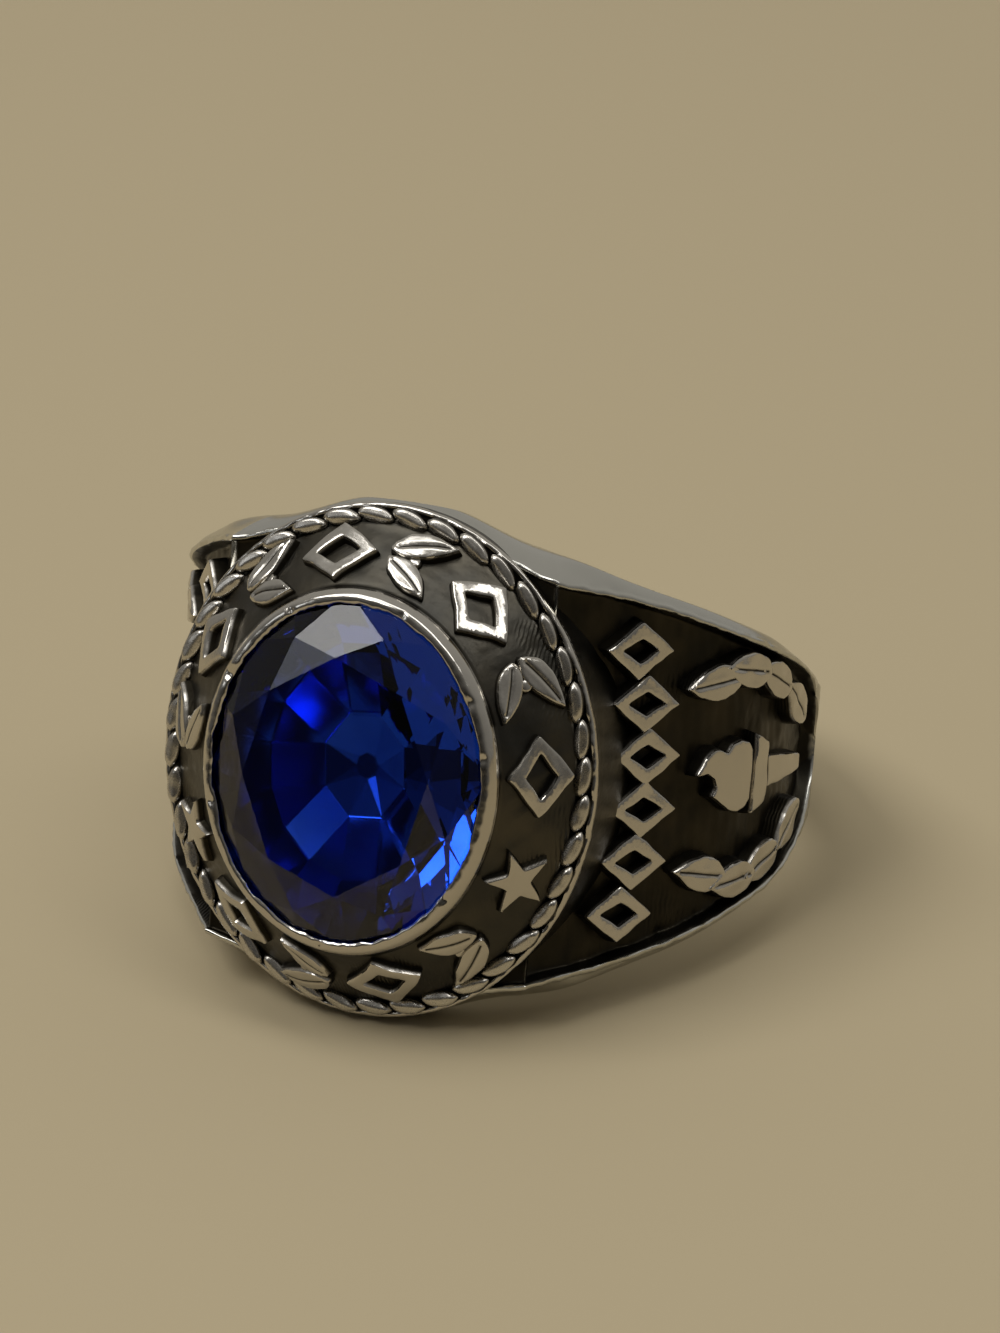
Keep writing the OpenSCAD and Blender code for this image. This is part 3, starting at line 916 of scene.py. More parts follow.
@dataclass
class Ornament:
    """Outlines of the raised work: stars, pierced lozenges, laurel leaves and a torch.

    Attributes:
        band_foot: height of the hidden foot of the band's work.
        panel_foot: height of the hidden foot of the shoulders' work.
        arcs: for each run of ornament on the band its start and its reach in degrees, how many pieces, and
            which kind comes first.
        stars: place and turn of each star, in degrees.
        torch: the torch's handle, cup and flame as shares of its length and width, each after how far it lies
            below the leaves.
    """

    star_d: float = 2.35
    leaf_len: float = 2.1
    leaf_wid: float = 0.92
    stroke: float = 0.4
    row_wid: float = 2.6
    row_mid: float = 4.1
    row_bow: float = 0.9
    row_count: int = 6
    torch_len: float = 6.2
    torch_wid: float = 2.7
    branch_leaf: float = 2.3
    branch_leaves: int = 4
    relief_h: float = 0.34
    relief_low: float = 0.08
    band_foot: float = -0.12
    panel_foot: float = -0.75
    arcs: tuple[tuple[float, float, int, int], ...] = ((-7.0, 194.0, 8, 0), (-38.0, -104.0, 4, 1))
    stars: tuple[tuple[float, float], ...] = ((-24.0, 90.0), (204.0, -90.0))
    torch: tuple[tuple[float, tuple[tuple[float, float], ...]], ...] = (
        (0.05, ((0.08, 0.21), (0.08, -0.21), (0.5, -0.1), (0.5, 0.1))),
        (0.0, ((0.06, 0.39), (-0.06, 0.52), (-0.06, -0.52), (0.06, -0.39))),
        (0.025, (
            (-0.085, 0.32), (-0.13, 0.42), (-0.2, 0.46), (-0.26, 0.42), (-0.3, 0.31), (-0.35, 0.36),
            (-0.41, 0.37), (-0.47, 0.25), (-0.52, 0.04), (-0.44, 0.06), (-0.385, 0.0), (-0.37, -0.1),
            (-0.4, -0.24), (-0.34, -0.3), (-0.27, -0.41), (-0.19, -0.46), (-0.12, -0.41), (-0.085, -0.32),
        )),
    )

    @staticmethod
    def turned(shape: Array, degrees: float, at: tuple[float, float] = (0.0, 0.0)) -> Array:
        """Turns and moves a flat shape."""
        q = math.radians(degrees)
        return shape @ np.array([[math.cos(q), math.sin(q)], [-math.sin(q), math.cos(q)]]) + np.array(at)

    @staticmethod
    def spokes(radii: Array) -> Array:
        """Corners at even angles round the middle, at given distances from it."""
        q = np.arange(len(radii)) * 2 * math.pi / len(radii)
        return np.stack([radii * np.cos(q), radii * np.sin(q)], -1)

    @staticmethod
    def lozenge(width: float, height: float, stroke: float) -> list[Array]:
        """A lozenge with a lozenge-shaped opening.

        Args:
            width: its width.
            height: its height.
            stroke: about the width of its sides.

        Returns:
            Its outline and its opening.
        """
        outer = np.array([[width / 2, 0], [0, height / 2], [-width / 2, 0], [0, -height / 2]])
        inner = outer - np.sign(outer) * stroke * 1.2
        return [outer, inner[::-1]]

    def leaf(
        self,
        size: tuple[float, float],
        degrees: float,
        at: tuple[float, float],
        top: float,
        foot: float,
        seed: int,
    ) -> RaisedPiece:
        """One pointed laurel leaf with its middle vein.

        Args:
            size: its length and width.
            degrees: where it points.
            at: place of its stalk.
            top: height of its top.
            foot: height of its foot.
            seed: picks the small unevenness.

        Returns:
            The leaf as a raised piece.
        """
        t = np.array([0.0, 0.08, 0.2, 0.34, 0.5, 0.66, 0.8, 0.92])
        half = np.array([0.05, 0.24, 0.41, 0.49, 0.49, 0.4, 0.26, 0.1])
        lower, upper = np.stack([t, -half], -1), np.stack([t[::-1], half[::-1]], -1)
        shape = np.concatenate([lower, [[1.0, 0.0]], upper]) * size
        vein = self.turned(np.array([[0.12 * size[0], 0.0], [0.86 * size[0], 0.0]]), degrees, at)
        return RaisedPiece([self.turned(shape, degrees, at)], vein, top, foot, seed=seed)

    def band_pieces(self, motif: Motif, width: float, turn: float, seed: int) -> list[RaisedPiece]:
        """Raised pieces of one motif on the band.

        Args:
            motif: which ornament.
            width: how far a lozenge reaches up the slope.
            turn: turn of a star, in degrees.
            seed: picks the small unevenness.

        Returns:
            One or more pieces about the motif's middle.
        """
        top, foot = self.relief_h, self.band_foot
        if motif is Motif.STAR:
            star = self.turned(self.spokes(np.tile([1.0, 0.4], 5) * self.star_d / 2), turn)
            return [RaisedPiece([star], None, top, foot, seed=seed)]
        if motif is Motif.LOZENGE:
            return [RaisedPiece(self.lozenge(width, width * 1.16, 0.5), None, top, foot, seed=seed)]
        size, low = (self.leaf_len, self.leaf_wid), -self.leaf_len * 0.42
        pieces = [
            self.leaf(size, 90 + s * 27, (-0.152 * s, low), top + 0.02 * s, foot, seed + s) for s in (-1, 1)
        ]
        ball = self.spokes(np.full(12, self.stroke / 2))
        return pieces + [RaisedPiece([ball], None, top - 0.06, foot, seed=seed)]

    def band(self, head: Head) -> Shell:
        """All raised work on the sloping band.

        Args:
            head: the head that carries it.

        Returns:
            One shell of all its pieces.
        """
        shell = Shell()
        width = (head.band_x - head.bezel_x) / math.cos(head.slope) * 0.86
        kinds = (Motif.LOZENGE, Motif.LEAVES)
        places: list[tuple[Motif, float, float]] = []
        for start, reach, count, first in self.arcs:
            places += [(kinds[(first + i) % 2], start + reach * (i + 0.5) / count, 0.0) for i in range(count)]
        places += [(Motif.STAR, angle, turn) for angle, turn in self.stars]
        for k, (motif, angle, turn) in enumerate(places):
            for piece in self.band_pieces(motif, width, turn, 3 * k):
                piece.add_to(shell, head.on_band(angle))
        return shell

    def row(self, shank: Shank) -> list[RaisedPiece]:
        """The bowed row of pierced lozenges beside the head.

        Args:
            shank: the hoop whose shoulder carries it.

        Returns:
            Its raised pieces.
        """
        angle = shank.line_a - math.degrees(math.atan2(shank.line_len - self.row_mid, shank.side_r))
        half = float(shank.half_width(np.array([angle]))[0]) - 1.17
        pitch = 2 * half / self.row_count
        top, foot = -self.relief_low, self.panel_foot + 0.03
        pieces = []
        for i in range(self.row_count):
            w = -half + pitch * (i + 0.5)
            at = np.array([self.row_mid - self.row_bow * (w / half) ** 2, w])
            loops = [loop + at for loop in self.lozenge(self.row_wid, pitch * 1.1, 0.48)]
            pieces.append(RaisedPiece(loops, None, top, foot, bevel=0.05, seed=70 + i))
        return pieces

    def emblem(self, shank: Shank) -> list[RaisedPiece]:
        """A torch between two laurel branches.

        Args:
            shank: the hoop whose shoulder carries it.

        Returns:
            Its raised pieces.
        """
        middle = shank.line_len + shank.side_r * math.radians(74 - shank.line_a)
        top, foot = -self.relief_low, self.panel_foot
        size = (self.branch_leaf * 1.1, self.branch_leaf * 0.54)
        pieces = []
        for s in (-1, 1):
            for i in range(self.branch_leaves):
                t = i / (self.branch_leaves - 1)
                reach = self.torch_wid * (0.4 + 0.92 * math.sin(math.radians(100 * t + 8)))
                at = (middle + self.torch_len * (0.55 - 0.78 * t), s * reach)
                low = top - 0.02 * (i % 2)
                pieces.append(self.leaf(size, 180 - s * (38 - 46 * t), at, low, foot, 80 + 5 * i + s))
        for k, (low, shares) in enumerate(self.torch):
            shape = np.array(shares) * [self.torch_len, self.torch_wid] + [middle, 0.0]
            pieces.append(RaisedPiece([shape], None, top - low, foot, seed=110 + k))
        return pieces

    def shoulder(self, shank: Shank, side: int) -> Shell:
        """All raised work of one shoulder.

        Args:
            shank: the hoop whose shoulder carries it.
            side: 1 for the right shoulder, -1 for the left.

        Returns:
            One shell of all its pieces.
        """
        shell = Shell()
        for piece in self.row(shank) + self.emblem(shank):
            piece.add_to(shell, shank.on_shoulder(side))
        shell.faces = [face[::side] for face in shell.faces]
        return shell


@dataclass
class CutStone:
    """Oval cut stone: table, stars, kites, half facets, girdle, mains and culet.

    Attributes:
        table: the table's share of the outline.
        star: how far the stars reach from the table to the girdle.
        turn: turn of all facets, in degrees.
        below: for each ring under the girdle its share of the outline and of the drop, its corners and
            its turn.
    """

    half_x: float = 5.0
    oval_more: float = 1.0
    table_h: float = 14.5
    girdle_top: float = 13.4
    girdle_low: float = 13.15
    culet_h: float = 10.25
    table: float = 0.66
    star: float = 0.47
    turn: float = 5.0
    below: tuple[tuple[float, float, int, float], ...] = (
        (0.62, 0.57, 16, 11.25), (0.3, 0.92, 8, 22.5), (0.07, 1.0, 8, 0.0),
    )

    def corners(self, share: float, height: float, count: int, turn: float) -> Array:
        """A ring of corners that is a share of the stone's outline.

        Args:
            share: 1 for the whole outline.
            height: its distance from the hole's axis.
            count: how many corners.
            turn: its turn against the other rings, in degrees.

        Returns:
            The corners, as drawing points.
        """
        q = np.radians(np.arange(count) * 360.0 / count + turn + self.turn)
        x, w = share * self.half_x * np.cos(q), share * (self.half_x + self.oval_more) * np.sin(q)
        return np.stack([x, np.full(count, -height), w], -1)

    def underside(self, gap: float) -> list[Array]:
        """Rings of corners from the girdle to the culet.

        Args:
            gap: how far outside the stone they lie, in mm.

        Returns:
            Four rings of 32, 16, 8 and 8 corners.
        """
        drop = self.girdle_low - self.culet_h
        rings = [self.corners(1 + gap / self.half_x, self.girdle_low, 32, 0)]
        for share, fall, count, turn in self.below:
            height = self.girdle_low - drop * fall - gap
            rings.append(self.corners(share + gap / self.half_x, height, count, turn))
        return rings

    @staticmethod
    def cup(start: int) -> list[list[int]]:
        """Facets of the whole underside.

        Args:
            start: number of the first of its 64 corners.

        Returns:
            Corner numbers of each facet.
        """
        a, b, c = start + 32, start + 48, start + 56
        faces: list[list[int]] = []
        for k in range(16):
            rim = [start + (2 * k + j) % 32 for j in range(3)]
            faces.extend([[a + k, rim[1], rim[0]], [a + k, rim[2], rim[1]]])
            faces.append([a + k, a + (k + 1) % 16, rim[2]])
        for k in range(8):
            q, m = (k + 1) % 8, a + 2 * k
            faces.extend([[b + k, m + 1, m], [b + k, b + q, m + 1], [b + q, a + (2 * k + 2) % 16, m + 1]])
            faces.extend([[c + k, b + k, b + (k + 7) % 8], [c + k, c + q, b + k]])
        return faces + [[c + k for k in range(7, -1, -1)]]

    def seat(self, gap: float) -> Shell:
        """Builds the seat that is cut to the stone's underside.

        Args:
            gap: how far below the stone it lies, in mm.

        Returns:
            A shell that is open at the girdle.
        """
        shell = Shell()
        shell.add(np.concatenate(self.underside(gap)))
        shell.faces = [face[::-1] for face in self.cup(0)]
        return shell

    def shell(self) -> Shell:
        """Builds the stone with its flat facets.

        Returns:
            A closed shell.
        """
        eighth, sixteenth = math.cos(math.radians(22.5)), math.cos(math.radians(11.25))
        crown = self.table_h - self.girdle_top
        mid = self.table + (1 - self.table) * self.star
        mid_h = (1 - mid * eighth) / (1 - self.table)
        dip = crown * mid_h * (1 - sixteenth) / (sixteenth * (1 - mid))
        upper = self.corners(1, self.girdle_top, 32, 0)
        upper[1::2, 1] += min(dip, (self.girdle_top - self.girdle_low) * 0.4)
        stars, top, low = 8, 16, 48
        faces: list[list[int]] = [list(range(8))]
        for k in range(8):
            faces.append([(k + 1) % 8, k, stars + k])
            faces.append([k, stars + (k + 7) % 8, top + 4 * k, stars + k])
            for j in range(4):
                a, b = 4 * k + j, (4 * k + j + 1) % 32
                faces.extend([[stars + k, top + a, top + b], [top + a, low + a, low + b, top + b]])
        shell = Shell(faces=faces + self.cup(low))
        shell.add(np.concatenate([
            self.corners(self.table, self.table_h, 8, 0),
            self.corners(mid, self.girdle_top + crown * mid_h, 8, 22.5),
            upper,
            *self.underside(0.0),
        ]))
        return shell


class Wiring:
    """Adds nodes to one shader tree and joins them.

    Attributes:
        stretch_turn: turn of the stretched patterns, in radians.
    """

    stretch_turn: Triple = (0.5, 0.9, 0.3)

    def __init__(self, tree: bpy.types.NodeTree) -> None:
        """Keeps the tree that the nodes go into."""
        self.tree = tree

    def feed(self, socket: Socket, value: object) -> None:
        """Sets a socket to a value or links another socket to it.

        Args:
            socket: an input.
            value: a number, a colour or an output.
        """
        if isinstance(value, bpy.types.NodeSocket):
            self.tree.links.new(value, socket)
        else:
            socket.default_value = value

    def add(self, kind: str, inputs: dict[str, object] | None = None) -> bpy.types.Node:
        """Adds a node.

        Args:
            kind: its type's name after ShaderNode.
            inputs: numbers, colours or sockets for some of its inputs.

        Returns:
            The node.
        """
        node = self.tree.nodes.new("ShaderNode" + kind)
        for label, value in (inputs or {}).items():
            self.feed(node.inputs[label], value)
        return node

    def math(self, how: str, a: object, b: object, clamp: bool = False) -> Socket:
        """Adds a Math node.

        Args:
            how: its operation.
            a: first socket or number.
            b: second socket or number.
            clamp: True keeps the result within 0 to 1.

        Returns:
            Its output socket.
        """
        node = self.add("Math")
        node.operation, node.use_clamp = how, clamp
        self.feed(node.inputs[0], a)
        self.feed(node.inputs[1], b)
        return node.outputs[0]

    def plus(self, a: object, b: object, clamp: bool = False) -> Socket:
        """Adds two values."""
        return self.math("ADD", a, b, clamp)

    def minus(self, a: object, b: object, clamp: bool = False) -> Socket:
        """Takes the second value from the first."""
        return self.math("SUBTRACT", a, b, clamp)

    def times(self, a: object, b: object, clamp: bool = False) -> Socket:
        """Multiplies two values."""
        return self.math("MULTIPLY", a, b, clamp)

    def noise(self, scale: float, detail: float, stretch: Triple | None = None) -> Socket:
        """Adds a Noise texture on the object's own coordinates.

        Args:
            scale: pattern repeats in a metre.
            detail: how many finer layers.
            stretch: scale of each axis, or None.

        Returns:
            Its value output.
        """
        place = self.add("TexCoord").outputs["Object"]
        if stretch is not None:
            turned = {"Rotation": self.stretch_turn, "Scale": stretch, "Vector": place}
            place = self.add("Mapping", turned).outputs["Vector"]
        return self.add("TexNoise", {"Scale": scale, "Detail": detail, "Vector": place}).outputs["Fac"]

    def mix(self, share: Socket, a: object, b: object) -> Socket:
        """Mixes two colours by a mask.

        Args:
            share: the mask.
            a: colour or socket for 0.
            b: colour or socket for 1.

        Returns:
            The mixed colour's socket.
        """
        node = self.add("Mix", {"Factor": share})
        node.data_type = "RGBA"
        for socket, value in zip([s for s in node.inputs if s.type == "RGBA"], (a, b)):
            self.feed(socket, (*value, 1.0) if isinstance(value, tuple) else value)
        return [s for s in node.outputs if s.type == "RGBA"][0]

    def bump(self, strength: float, distance: float, height: Socket) -> Socket:
        """Turns heights into a normal.

        Args:
            strength: share of the full effect.
            distance: metres that a height of 1 stands for.
            height: the heights' socket.

        Returns:
            The normal's socket.
        """
        node = self.add("Bump", {"Strength": strength, "Distance": distance, "Height": height})
        return node.outputs["Normal"]

    def placed(self, group: bpy.types.NodeTree, inputs: dict[str, object]) -> dict[str, Socket]:
        """Places a shared group with one finish's own values.

        Args:
            group: the group.
            inputs: numbers or sockets for its inputs.

        Returns:
            Its outputs by name.
        """
        node = self.add("Group")
        node.node_tree = group
        for label, value in inputs.items():
            self.feed(node.inputs[label], value)
        return {socket.name: socket for socket in node.outputs}

    def mask(self, label: str) -> Socket:
        """Reads one of the masks on the mesh's points.

        Args:
            label: the mask's name.

        Returns:
            Its value socket.
        """
        node = self.add("Attribute")
        node.attribute_name = label
        return node.outputs["Fac"]


class NodeGroups:
    """Shader node groups that the finishes share, each built once."""

    def __init__(self) -> None:
        """Builds the groups."""
        self.oxide = self._oxide()
        self.rubbing = self._rubbing()
        self.casting = self._casting()

    @staticmethod
    def _start(
        name: str, inputs: dict[str, float], outputs: tuple[str, ...]
    ) -> tuple[Wiring, dict[str, Socket], dict[str, Socket]]:
        """Makes an empty group with named sockets.

        Args:
            name: the group's name.
            inputs: value inputs with their defaults.
            outputs: value outputs.

        Returns:
            Its wiring, the sockets that bring its inputs, and those that take its outputs.
        """
        group = bpy.data.node_groups.new(name, "ShaderNodeTree")
        for label, value in inputs.items():
            group.interface.new_socket(name=label, in_out="INPUT", socket_type=VALUE).default_value = value
        for label in outputs:
            group.interface.new_socket(name=label, in_out="OUTPUT", socket_type=VALUE)
        come, go = group.nodes.new("NodeGroupInput"), group.nodes.new("NodeGroupOutput")
        return Wiring(group), {s.name: s for s in come.outputs}, {s.name: s for s in go.inputs}

    def _oxide(self) -> bpy.types.NodeTree:
        """Dark oxide in the recesses, with an uneven border.

        Returns:
            A group that puts out a mask and a brown share.
        """
        inputs = {"Recess": 0.0, "Wear": 0.0, "Spread": 0.35}
        on, come, go = self._start("oxide_in_recesses", inputs, ("Mask", "Brown"))
        mottle = on.plus(on.times(on.noise(900.0, 3.0), 0.65), on.times(on.noise(4200.0, 3.0), 0.35))
        shift = on.times(on.minus(mottle, 0.5), come["Spread"])
        root = on.times(come["Recess"], 4.0, clamp=True)
        near = on.plus(come["Recess"], on.times(on.times(shift, 2.2), root))
        rubbed = on.minus(near, on.times(come["Wear"], 0.55), clamp=True)
        ease = on.add("MapRange", {"From Min": 0.12, "From Max": 0.85, "Value": rubbed})
        ease.interpolation_type = "SMOOTHSTEP"
        on.feed(go["Mask"], ease.outputs["Result"])
        on.feed(go["Brown"], on.times(on.minus(on.noise(420.0, 4.0), 0.38, clamp=True), 3.0, clamp=True))
        return on.tree

    def _rubbing(self) -> bpy.types.NodeTree:
        """Fine scratches and small pits of a worn polish.

        Returns:
            A group that puts out a height and a mask.
        """
        on, come, go = self._start("rubbed_polish", {"Wear": 0.0, "Amount": 1.0}, ("Height", "Mask"))
        lines = on.plus(on.noise(900.0, 2.0, (1.0, 9.0, 14.0)), on.noise(1100.0, 2.0, (13.0, 1.2, 7.0)))
        lifted = on.plus(on.times(lines, 0.5), on.times(on.noise(2600.0, 4.0), 0.6))
        strength = on.times(come["Amount"], on.plus(on.times(come["Wear"], 0.35), 0.65))
        on.feed(go["Height"], on.times(lifted, strength))
        on.feed(go["Mask"], on.times(on.minus(lines, 0.96, clamp=True), 3.0, clamp=True))
        return on.tree

    def _casting(self) -> bpy.types.NodeTree:
        """Soft grain of the cast ground with a few tooled patches.

        Returns:
            A group that puts out a height.
        """
        on, come, go = self._start("cast_ground", {"Mask": 1.0, "Amount": 1.0}, ("Height",))
        place = on.add("TexCoord").outputs["Object"]
        wave = {"Scale": 2600.0, "Distortion": 2.5, "Detail": 1.0, "Vector": place}
        lines = on.add("TexWave", wave).outputs["Fac"]
        spots = on.minus(on.noise(330.0, 1.0), 0.56, clamp=True)
        tooled = on.times(lines, on.times(spots, 9.0, clamp=True))
        grain = on.plus(on.noise(1500.0, 4.0), on.times(on.noise(7000.0, 2.0), 0.35))
        both = on.plus(grain, on.times(tooled, 1.3))
        on.feed(go["Height"], on.times(both, on.times(come["Mask"], come["Amount"])))
        return on.tree


def new_material(name: str) -> tuple[bpy.types.Material, Wiring, bpy.types.Node]:
    """Makes a material with nodes.

    Args:
        name: its name.

    Returns:
        The material, its wiring and its Principled shader.
    """
    made = bpy.data.materials.new(name)
    made.use_nodes = True
    return made, Wiring(made.node_tree), made.node_tree.nodes["Principled BSDF"]


@dataclass(frozen=True)
class WornMetal:
    """Worn polished alloy with oxidised recesses.

    Attributes:
        name: the material's name.
        bright: colour of rubbed metal.
        dark: colour of the oxide; on the head a lighter copy that also paints a sheen.
        brown: colour of its warmer patches, on the head lighter for the same painted sheen.
        gloss: roughness of rubbed metal.
        dull: roughness of the oxide.
        spread: how ragged the oxide's border is.
        scratches: strength of the fine scratches.
        grain: strength of the cast grain.
        relief: height that the bump's values stand for, in metres.
        shades: share of the bright colour in its darkest and its lightest patches.
    """

    name: str
    bright: Triple
    dark: Triple
    brown: Triple
    gloss: float
    dull: float
    spread: float
    scratches: float
    grain: float
    relief: float = 0.000012
    shades: tuple[float, float] = (0.88, 1.1)

    def material(self, groups: NodeGroups) -> bpy.types.Material:
        """Builds the material.

        Args:
            groups: the shared node groups.

        Returns:
            The finished material.
        """
        made, on, shader = new_material(self.name)
        recess, wear = on.mask("recess"), on.mask("wear")
        oxide = on.placed(groups.oxide, {"Spread": self.spread, "Recess": recess, "Wear": wear})
        rubbing = on.placed(groups.rubbing, {"Amount": self.scratches, "Wear": wear})
        casting = on.placed(groups.casting, {"Amount": self.grain, "Mask": oxide["Mask"]})
        tones = (tuple(min(c * k, 1.0) for c in self.bright) for k in self.shades)
        clean = on.mix(on.noise(260.0, 3.0), *tones)
        dirt = on.mix(oxide["Brown"], self.dark, self.brown)
        on.feed(shader.inputs["Base Color"], on.mix(oxide["Mask"], clean, dirt))
        shader.inputs["Metallic"].default_value = 1.0
        polish = on.plus(on.times(oxide["Mask"], self.dull - self.gloss), self.gloss)
        marks = on.times(rubbing["Mask"], 0.3 * self.scratches)
        on.feed(shader.inputs["Roughness"], on.plus(polish, marks, clamp=True))
        height = on.plus(rubbing["Height"], casting["Height"])
        on.feed(shader.inputs["Normal"], on.bump(1.0, self.relief, height))
        return made


@dataclass(frozen=True)
class BlueStone:
    """Clear deep blue synthetic stone.

    Attributes:
        name: the material's name.
        through: colour that passes through it.
        density: how fast it takes up light, for each metre.
        index: its refractive index.
        tints: the two shades that its surface varies between.
    """

    name: str = "deep_blue_stone"
    through: Triple = (0.005, 0.38, 0.86)
    density: float = 430.0
    index: float = 1.5
    tints: tuple[Triple, Triple] = ((0.86, 0.9, 1.0), (0.97, 0.98, 1.0))

    def material(self) -> bpy.types.Material:
        """Builds the material with a faint wear of its polish.

        Returns:
            The finished material.
        """
        made, on, shader = new_material(self.name)
        shader.inputs["Transmission Weight"].default_value = 1.0
        shader.inputs["IOR"].default_value = self.index
        on.feed(shader.inputs["Roughness"], on.times(on.noise(700.0, 3.0), 0.03))
        on.feed(shader.inputs["Base Color"], on.mix(on.noise(350.0, 2.0), *self.tints))
        on.feed(shader.inputs["Normal"], on.bump(0.25, 0.000003, on.noise(1800.0, 3.0)))
        depth = on.add("VolumeAbsorption", {"Color": (*self.through, 1.0), "Density": self.density})
        on.feed(made.node_tree.nodes["Material Output"].inputs["Volume"], depth.outputs["Volume"])
        return made


@dataclass
class Studio:
    """Floor, soft light and the camera at the photograph's angle.

    Attributes:
        yaw: the camera's turn about the ring, in degrees.
        rise: its height over the horizon, in degrees.
        roll: its tilt, in degrees.
        away: its distance from the target, in metres.
        aim: where the target lies from the picture's middle, in pixels.
        focal: its focal length, in pixels.
        frame_h: the picture's height, in pixels.
        target: the drawing point that it was set by, in mm.
        lamps: name, place, size, power and tint of each soft light.
    """

    yaw: float = 25.841
    rise: float = 27.937
    roll: float = -3.559
    away: float = 0.1469
    aim: tuple[float, float] = (-159.7, 109.3)
    focal: float = 4500.0
    frame_h: float = 1333.0
    target: Triple = (0.0, -14.0, 0.0)
    floor_half: float = 3.0
    floor_tint: Triple = (0.46, 0.385, 0.249)
    room_low: Triple = (0.014, 0.013, 0.012)
    room_high: Triple = (0.4, 0.384, 0.352)
    lamps: tuple[tuple[str, Triple, tuple[float, float], float, Triple], ...] = (
        ("overhead", (-0.194, -0.176, 0.434), (0.3, 0.2), 1.1, (1.0, 0.985, 0.96)),
        ("ceiling_strip", (0.058, -0.0155, 0.5), (0.12, 0.7), 0.8, (1.0, 0.99, 0.97)),
        ("front_fill", (-0.5, -0.5, 0.3), (0.16, 0.16), 0.12, (0.93, 0.96, 1.0)),
    )

    def camera(self, place: RestingPlace) -> None:
        """Places the camera where the photograph was taken.

        Args:
            place: where the ring lies.
        """
        ps, el, ro = (math.radians(v) for v in (self.yaw, self.rise, self.roll))
        back = np.array([math.sin(ps) * math.cos(el), -math.cos(ps) * math.cos(el), math.sin(el)])
        right = unit(np.cross(-back, [0.0, 0.0, 1.0]))
        up = np.cross(right, -back)
        right, up = math.cos(ro) * right + math.sin(ro) * up, -math.sin(ro) * right + math.cos(ro) * up
        look = unit(-back - right * self.aim[0] / self.focal + up * self.aim[1] / self.focal)
        side = unit(np.cross(look, up))
        data = bpy.data.cameras.new("camera")
        data.sensor_fit, data.sensor_width = "AUTO", 36.0
        data.lens = data.sensor_width * self.focal / self.frame_h
        data.clip_start, data.clip_end = 0.005, 20.0
        camera = linked("camera", data)
        spot = place.place(np.array(self.target)) + back * self.away
        turned = Matrix(np.array([side, np.cross(side, look), -look]).T.tolist()).to_4x4()
        camera.matrix_world = Matrix.Translation(Vector(spot.tolist())) @ turned
        bpy.context.scene.camera = camera

    def light(self) -> None:
        """Hangs the soft lights, all pointing at the ring."""
        middle = Vector((0.0, 0.0, 0.008))
        for name, spot, size, power, tint in self.lamps:
            data = bpy.data.lights.new(name, "AREA")
            data.shape = "RECTANGLE"
            data.size, data.size_y = size
            data.energy, data.color = power, tint
            lamp = linked(name, data)
            lamp.location = spot
            lamp.rotation_euler = (middle - Vector(spot)).to_track_quat("-Z", "Y").to_euler()

    def floor(self) -> None:
        """Lays a plain pale floor."""
        mesh = bpy.data.meshes.new("floor")
        signs = ((-1, -1), (1, -1), (1, 1), (-1, 1))
        corners = [(x * self.floor_half, y * self.floor_half, 0) for x, y in signs]
        mesh.from_pydata(corners, [], [[0, 1, 2, 3]])
        floor = linked("floor", mesh)
        made, _, shader = new_material("pale_floor")
        shader.inputs["Base Color"].default_value = (*self.floor_tint, 1.0)
        shader.inputs["Roughness"].default_value = 0.85
        shader.inputs["Specular IOR Level"].default_value = 0.2
        mesh.materials.append(made)

    def room(self) -> None:
        """Sets the surrounding room, lighter above and behind."""
        world = bpy.data.worlds.new("room")
        world.use_nodes = True
        on = Wiring(world.node_tree)
        split = on.add("SeparateXYZ", {"Vector": on.add("TexCoord").outputs["Generated"]}).outputs
        share = on.plus(on.plus(on.times(split["Z"], 0.35), on.times(split["Y"], 0.5)), 0.45, clamp=True)
        ramp = on.add("ValToRGB", {"Fac": share})
        for element, colour in zip(ramp.color_ramp.elements, (self.room_low, self.room_high)):
            element.color = (*colour, 1.0)
        back = world.node_tree.nodes["Background"]
        on.feed(back.inputs["Color"], ramp.outputs["Color"])
        back.inputs["Strength"].default_value = 1.0
        bpy.context.scene.world = world
        bpy.context.scene.view_settings.view_transform = "Standard"
        bpy.context.scene.view_settings.look = "None"


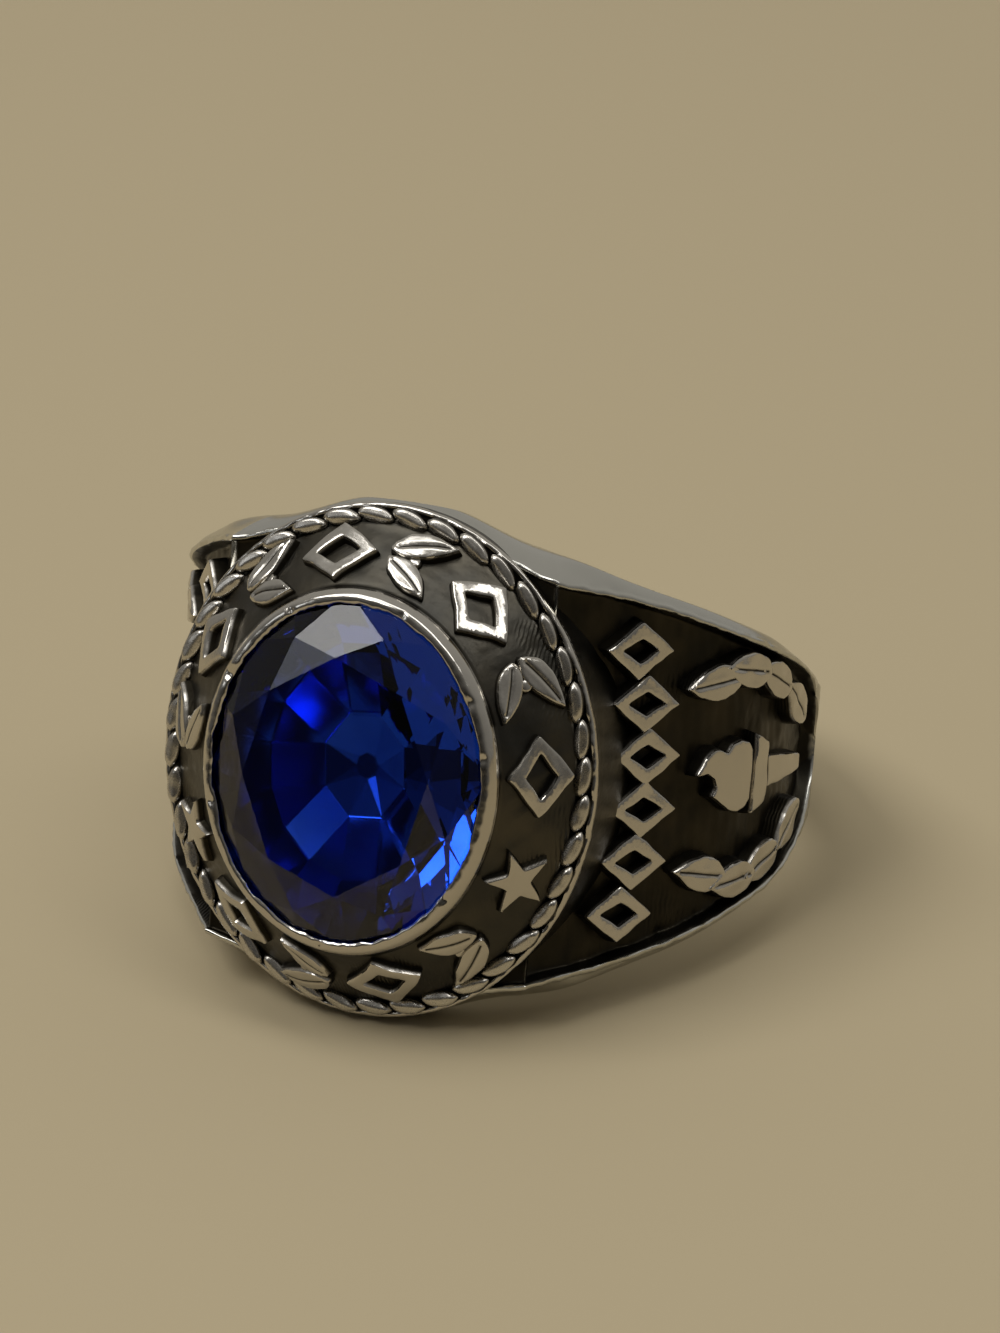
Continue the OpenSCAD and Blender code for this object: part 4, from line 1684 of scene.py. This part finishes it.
@dataclass
class ClassRing:
    """The whole ring: hoop, head, rope, raised work and stone."""

    place: RestingPlace
    groups: NodeGroups
    shank: Shank = field(default_factory=Shank)
    head: Head = field(default_factory=Head)
    rope: RopeBorder = field(default_factory=RopeBorder)
    ornament: Ornament = field(default_factory=Ornament)
    stone: CutStone = field(default_factory=CutStone)
    stone_gap: float = 0.05

    def finishes(self) -> dict[str, bpy.types.Material]:
        """Makes one material for each finish.

        Returns:
            The materials by finish.
        """
        bright = (0.55, 0.525, 0.48)
        dark, brown = (0.022, 0.02, 0.015), (0.044, 0.037, 0.025)
        # The head's oxide colours are a lighter copy of the shoulders' oxide: painted sheen for the light
        # that the band's ground reflects.
        head_dark_painted_sheen, head_brown_painted_sheen = (0.05, 0.048, 0.042), (0.085, 0.076, 0.058)
        kinds = (
            WornMetal("hoop_metal", (0.545, 0.54, 0.5), dark, brown, 0.2, 0.38, 0.3, 0.05, 0.8),
            WornMetal("head_metal", bright, head_dark_painted_sheen, head_brown_painted_sheen, 0.16, 0.34, 0.3, 0.2, 0.9),
            WornMetal("rope_metal", bright, dark, brown, 0.27, 0.42, 0.45, 0.1, 0.5),
            WornMetal("relief_metal", bright, dark, brown, 0.19, 0.42, 0.25, 0.25, 0.5),
            WornMetal("seat_metal", (0.38, 0.5, 0.85), dark, brown, 0.16, 0.3, 0.1, 0.0, 0.0),
        )
        return {kind.name: kind.material(self.groups) for kind in kinds} | {"stone": BlueStone().material()}

    def build(self) -> None:
        """Builds, dresses and reports every piece."""
        finish, metal = self.finishes(), ("ring_body", Role.METAL)
        parts = (
            ("hoop", self.shank.shell(self.place), 50.0, "hoop_metal", *metal),
            ("head", self.head.shell(self.shank, self.place.tilt), 60.0, "head_metal", *metal),
            ("rope_border", self.rope.shell(), 60.0, "rope_metal", *metal),
            ("band_relief", self.ornament.band(self.head), 40.0, "relief_metal", *metal),
            ("shoulder_relief_right", self.ornament.shoulder(self.shank, 1), 40.0, "relief_metal", *metal),
            ("shoulder_relief_left", self.ornament.shoulder(self.shank, -1), 40.0, "relief_metal", *metal),
            ("stone_seat", self.stone.seat(self.stone_gap), None, "seat_metal", *metal),
            ("cut_stone", self.stone.shell(), None, "stone", "stone", Role.STONE),
        )
        for name, shell, sharp, kind, node, role in parts:
            piece = shell.build(name, self.place, sharp)
            piece.data.materials.append(finish[kind])
            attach(piece, "root")
            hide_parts(node)
            LOG.info("%s: %d points, %d faces", name, len(piece.data.vertices), len(piece.data.polygons))


def main() -> None:
    """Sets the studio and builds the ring."""
    logging.basicConfig(level=logging.INFO, format="%(name)s %(message)s")
    place = RestingPlace.from_record(frame["record"])
    studio = Studio()
    studio.camera(place)
    studio.floor()
    studio.light()
    studio.room()
    ClassRing(place, NodeGroups()).build()


if __name__ == "__main__":
    main()
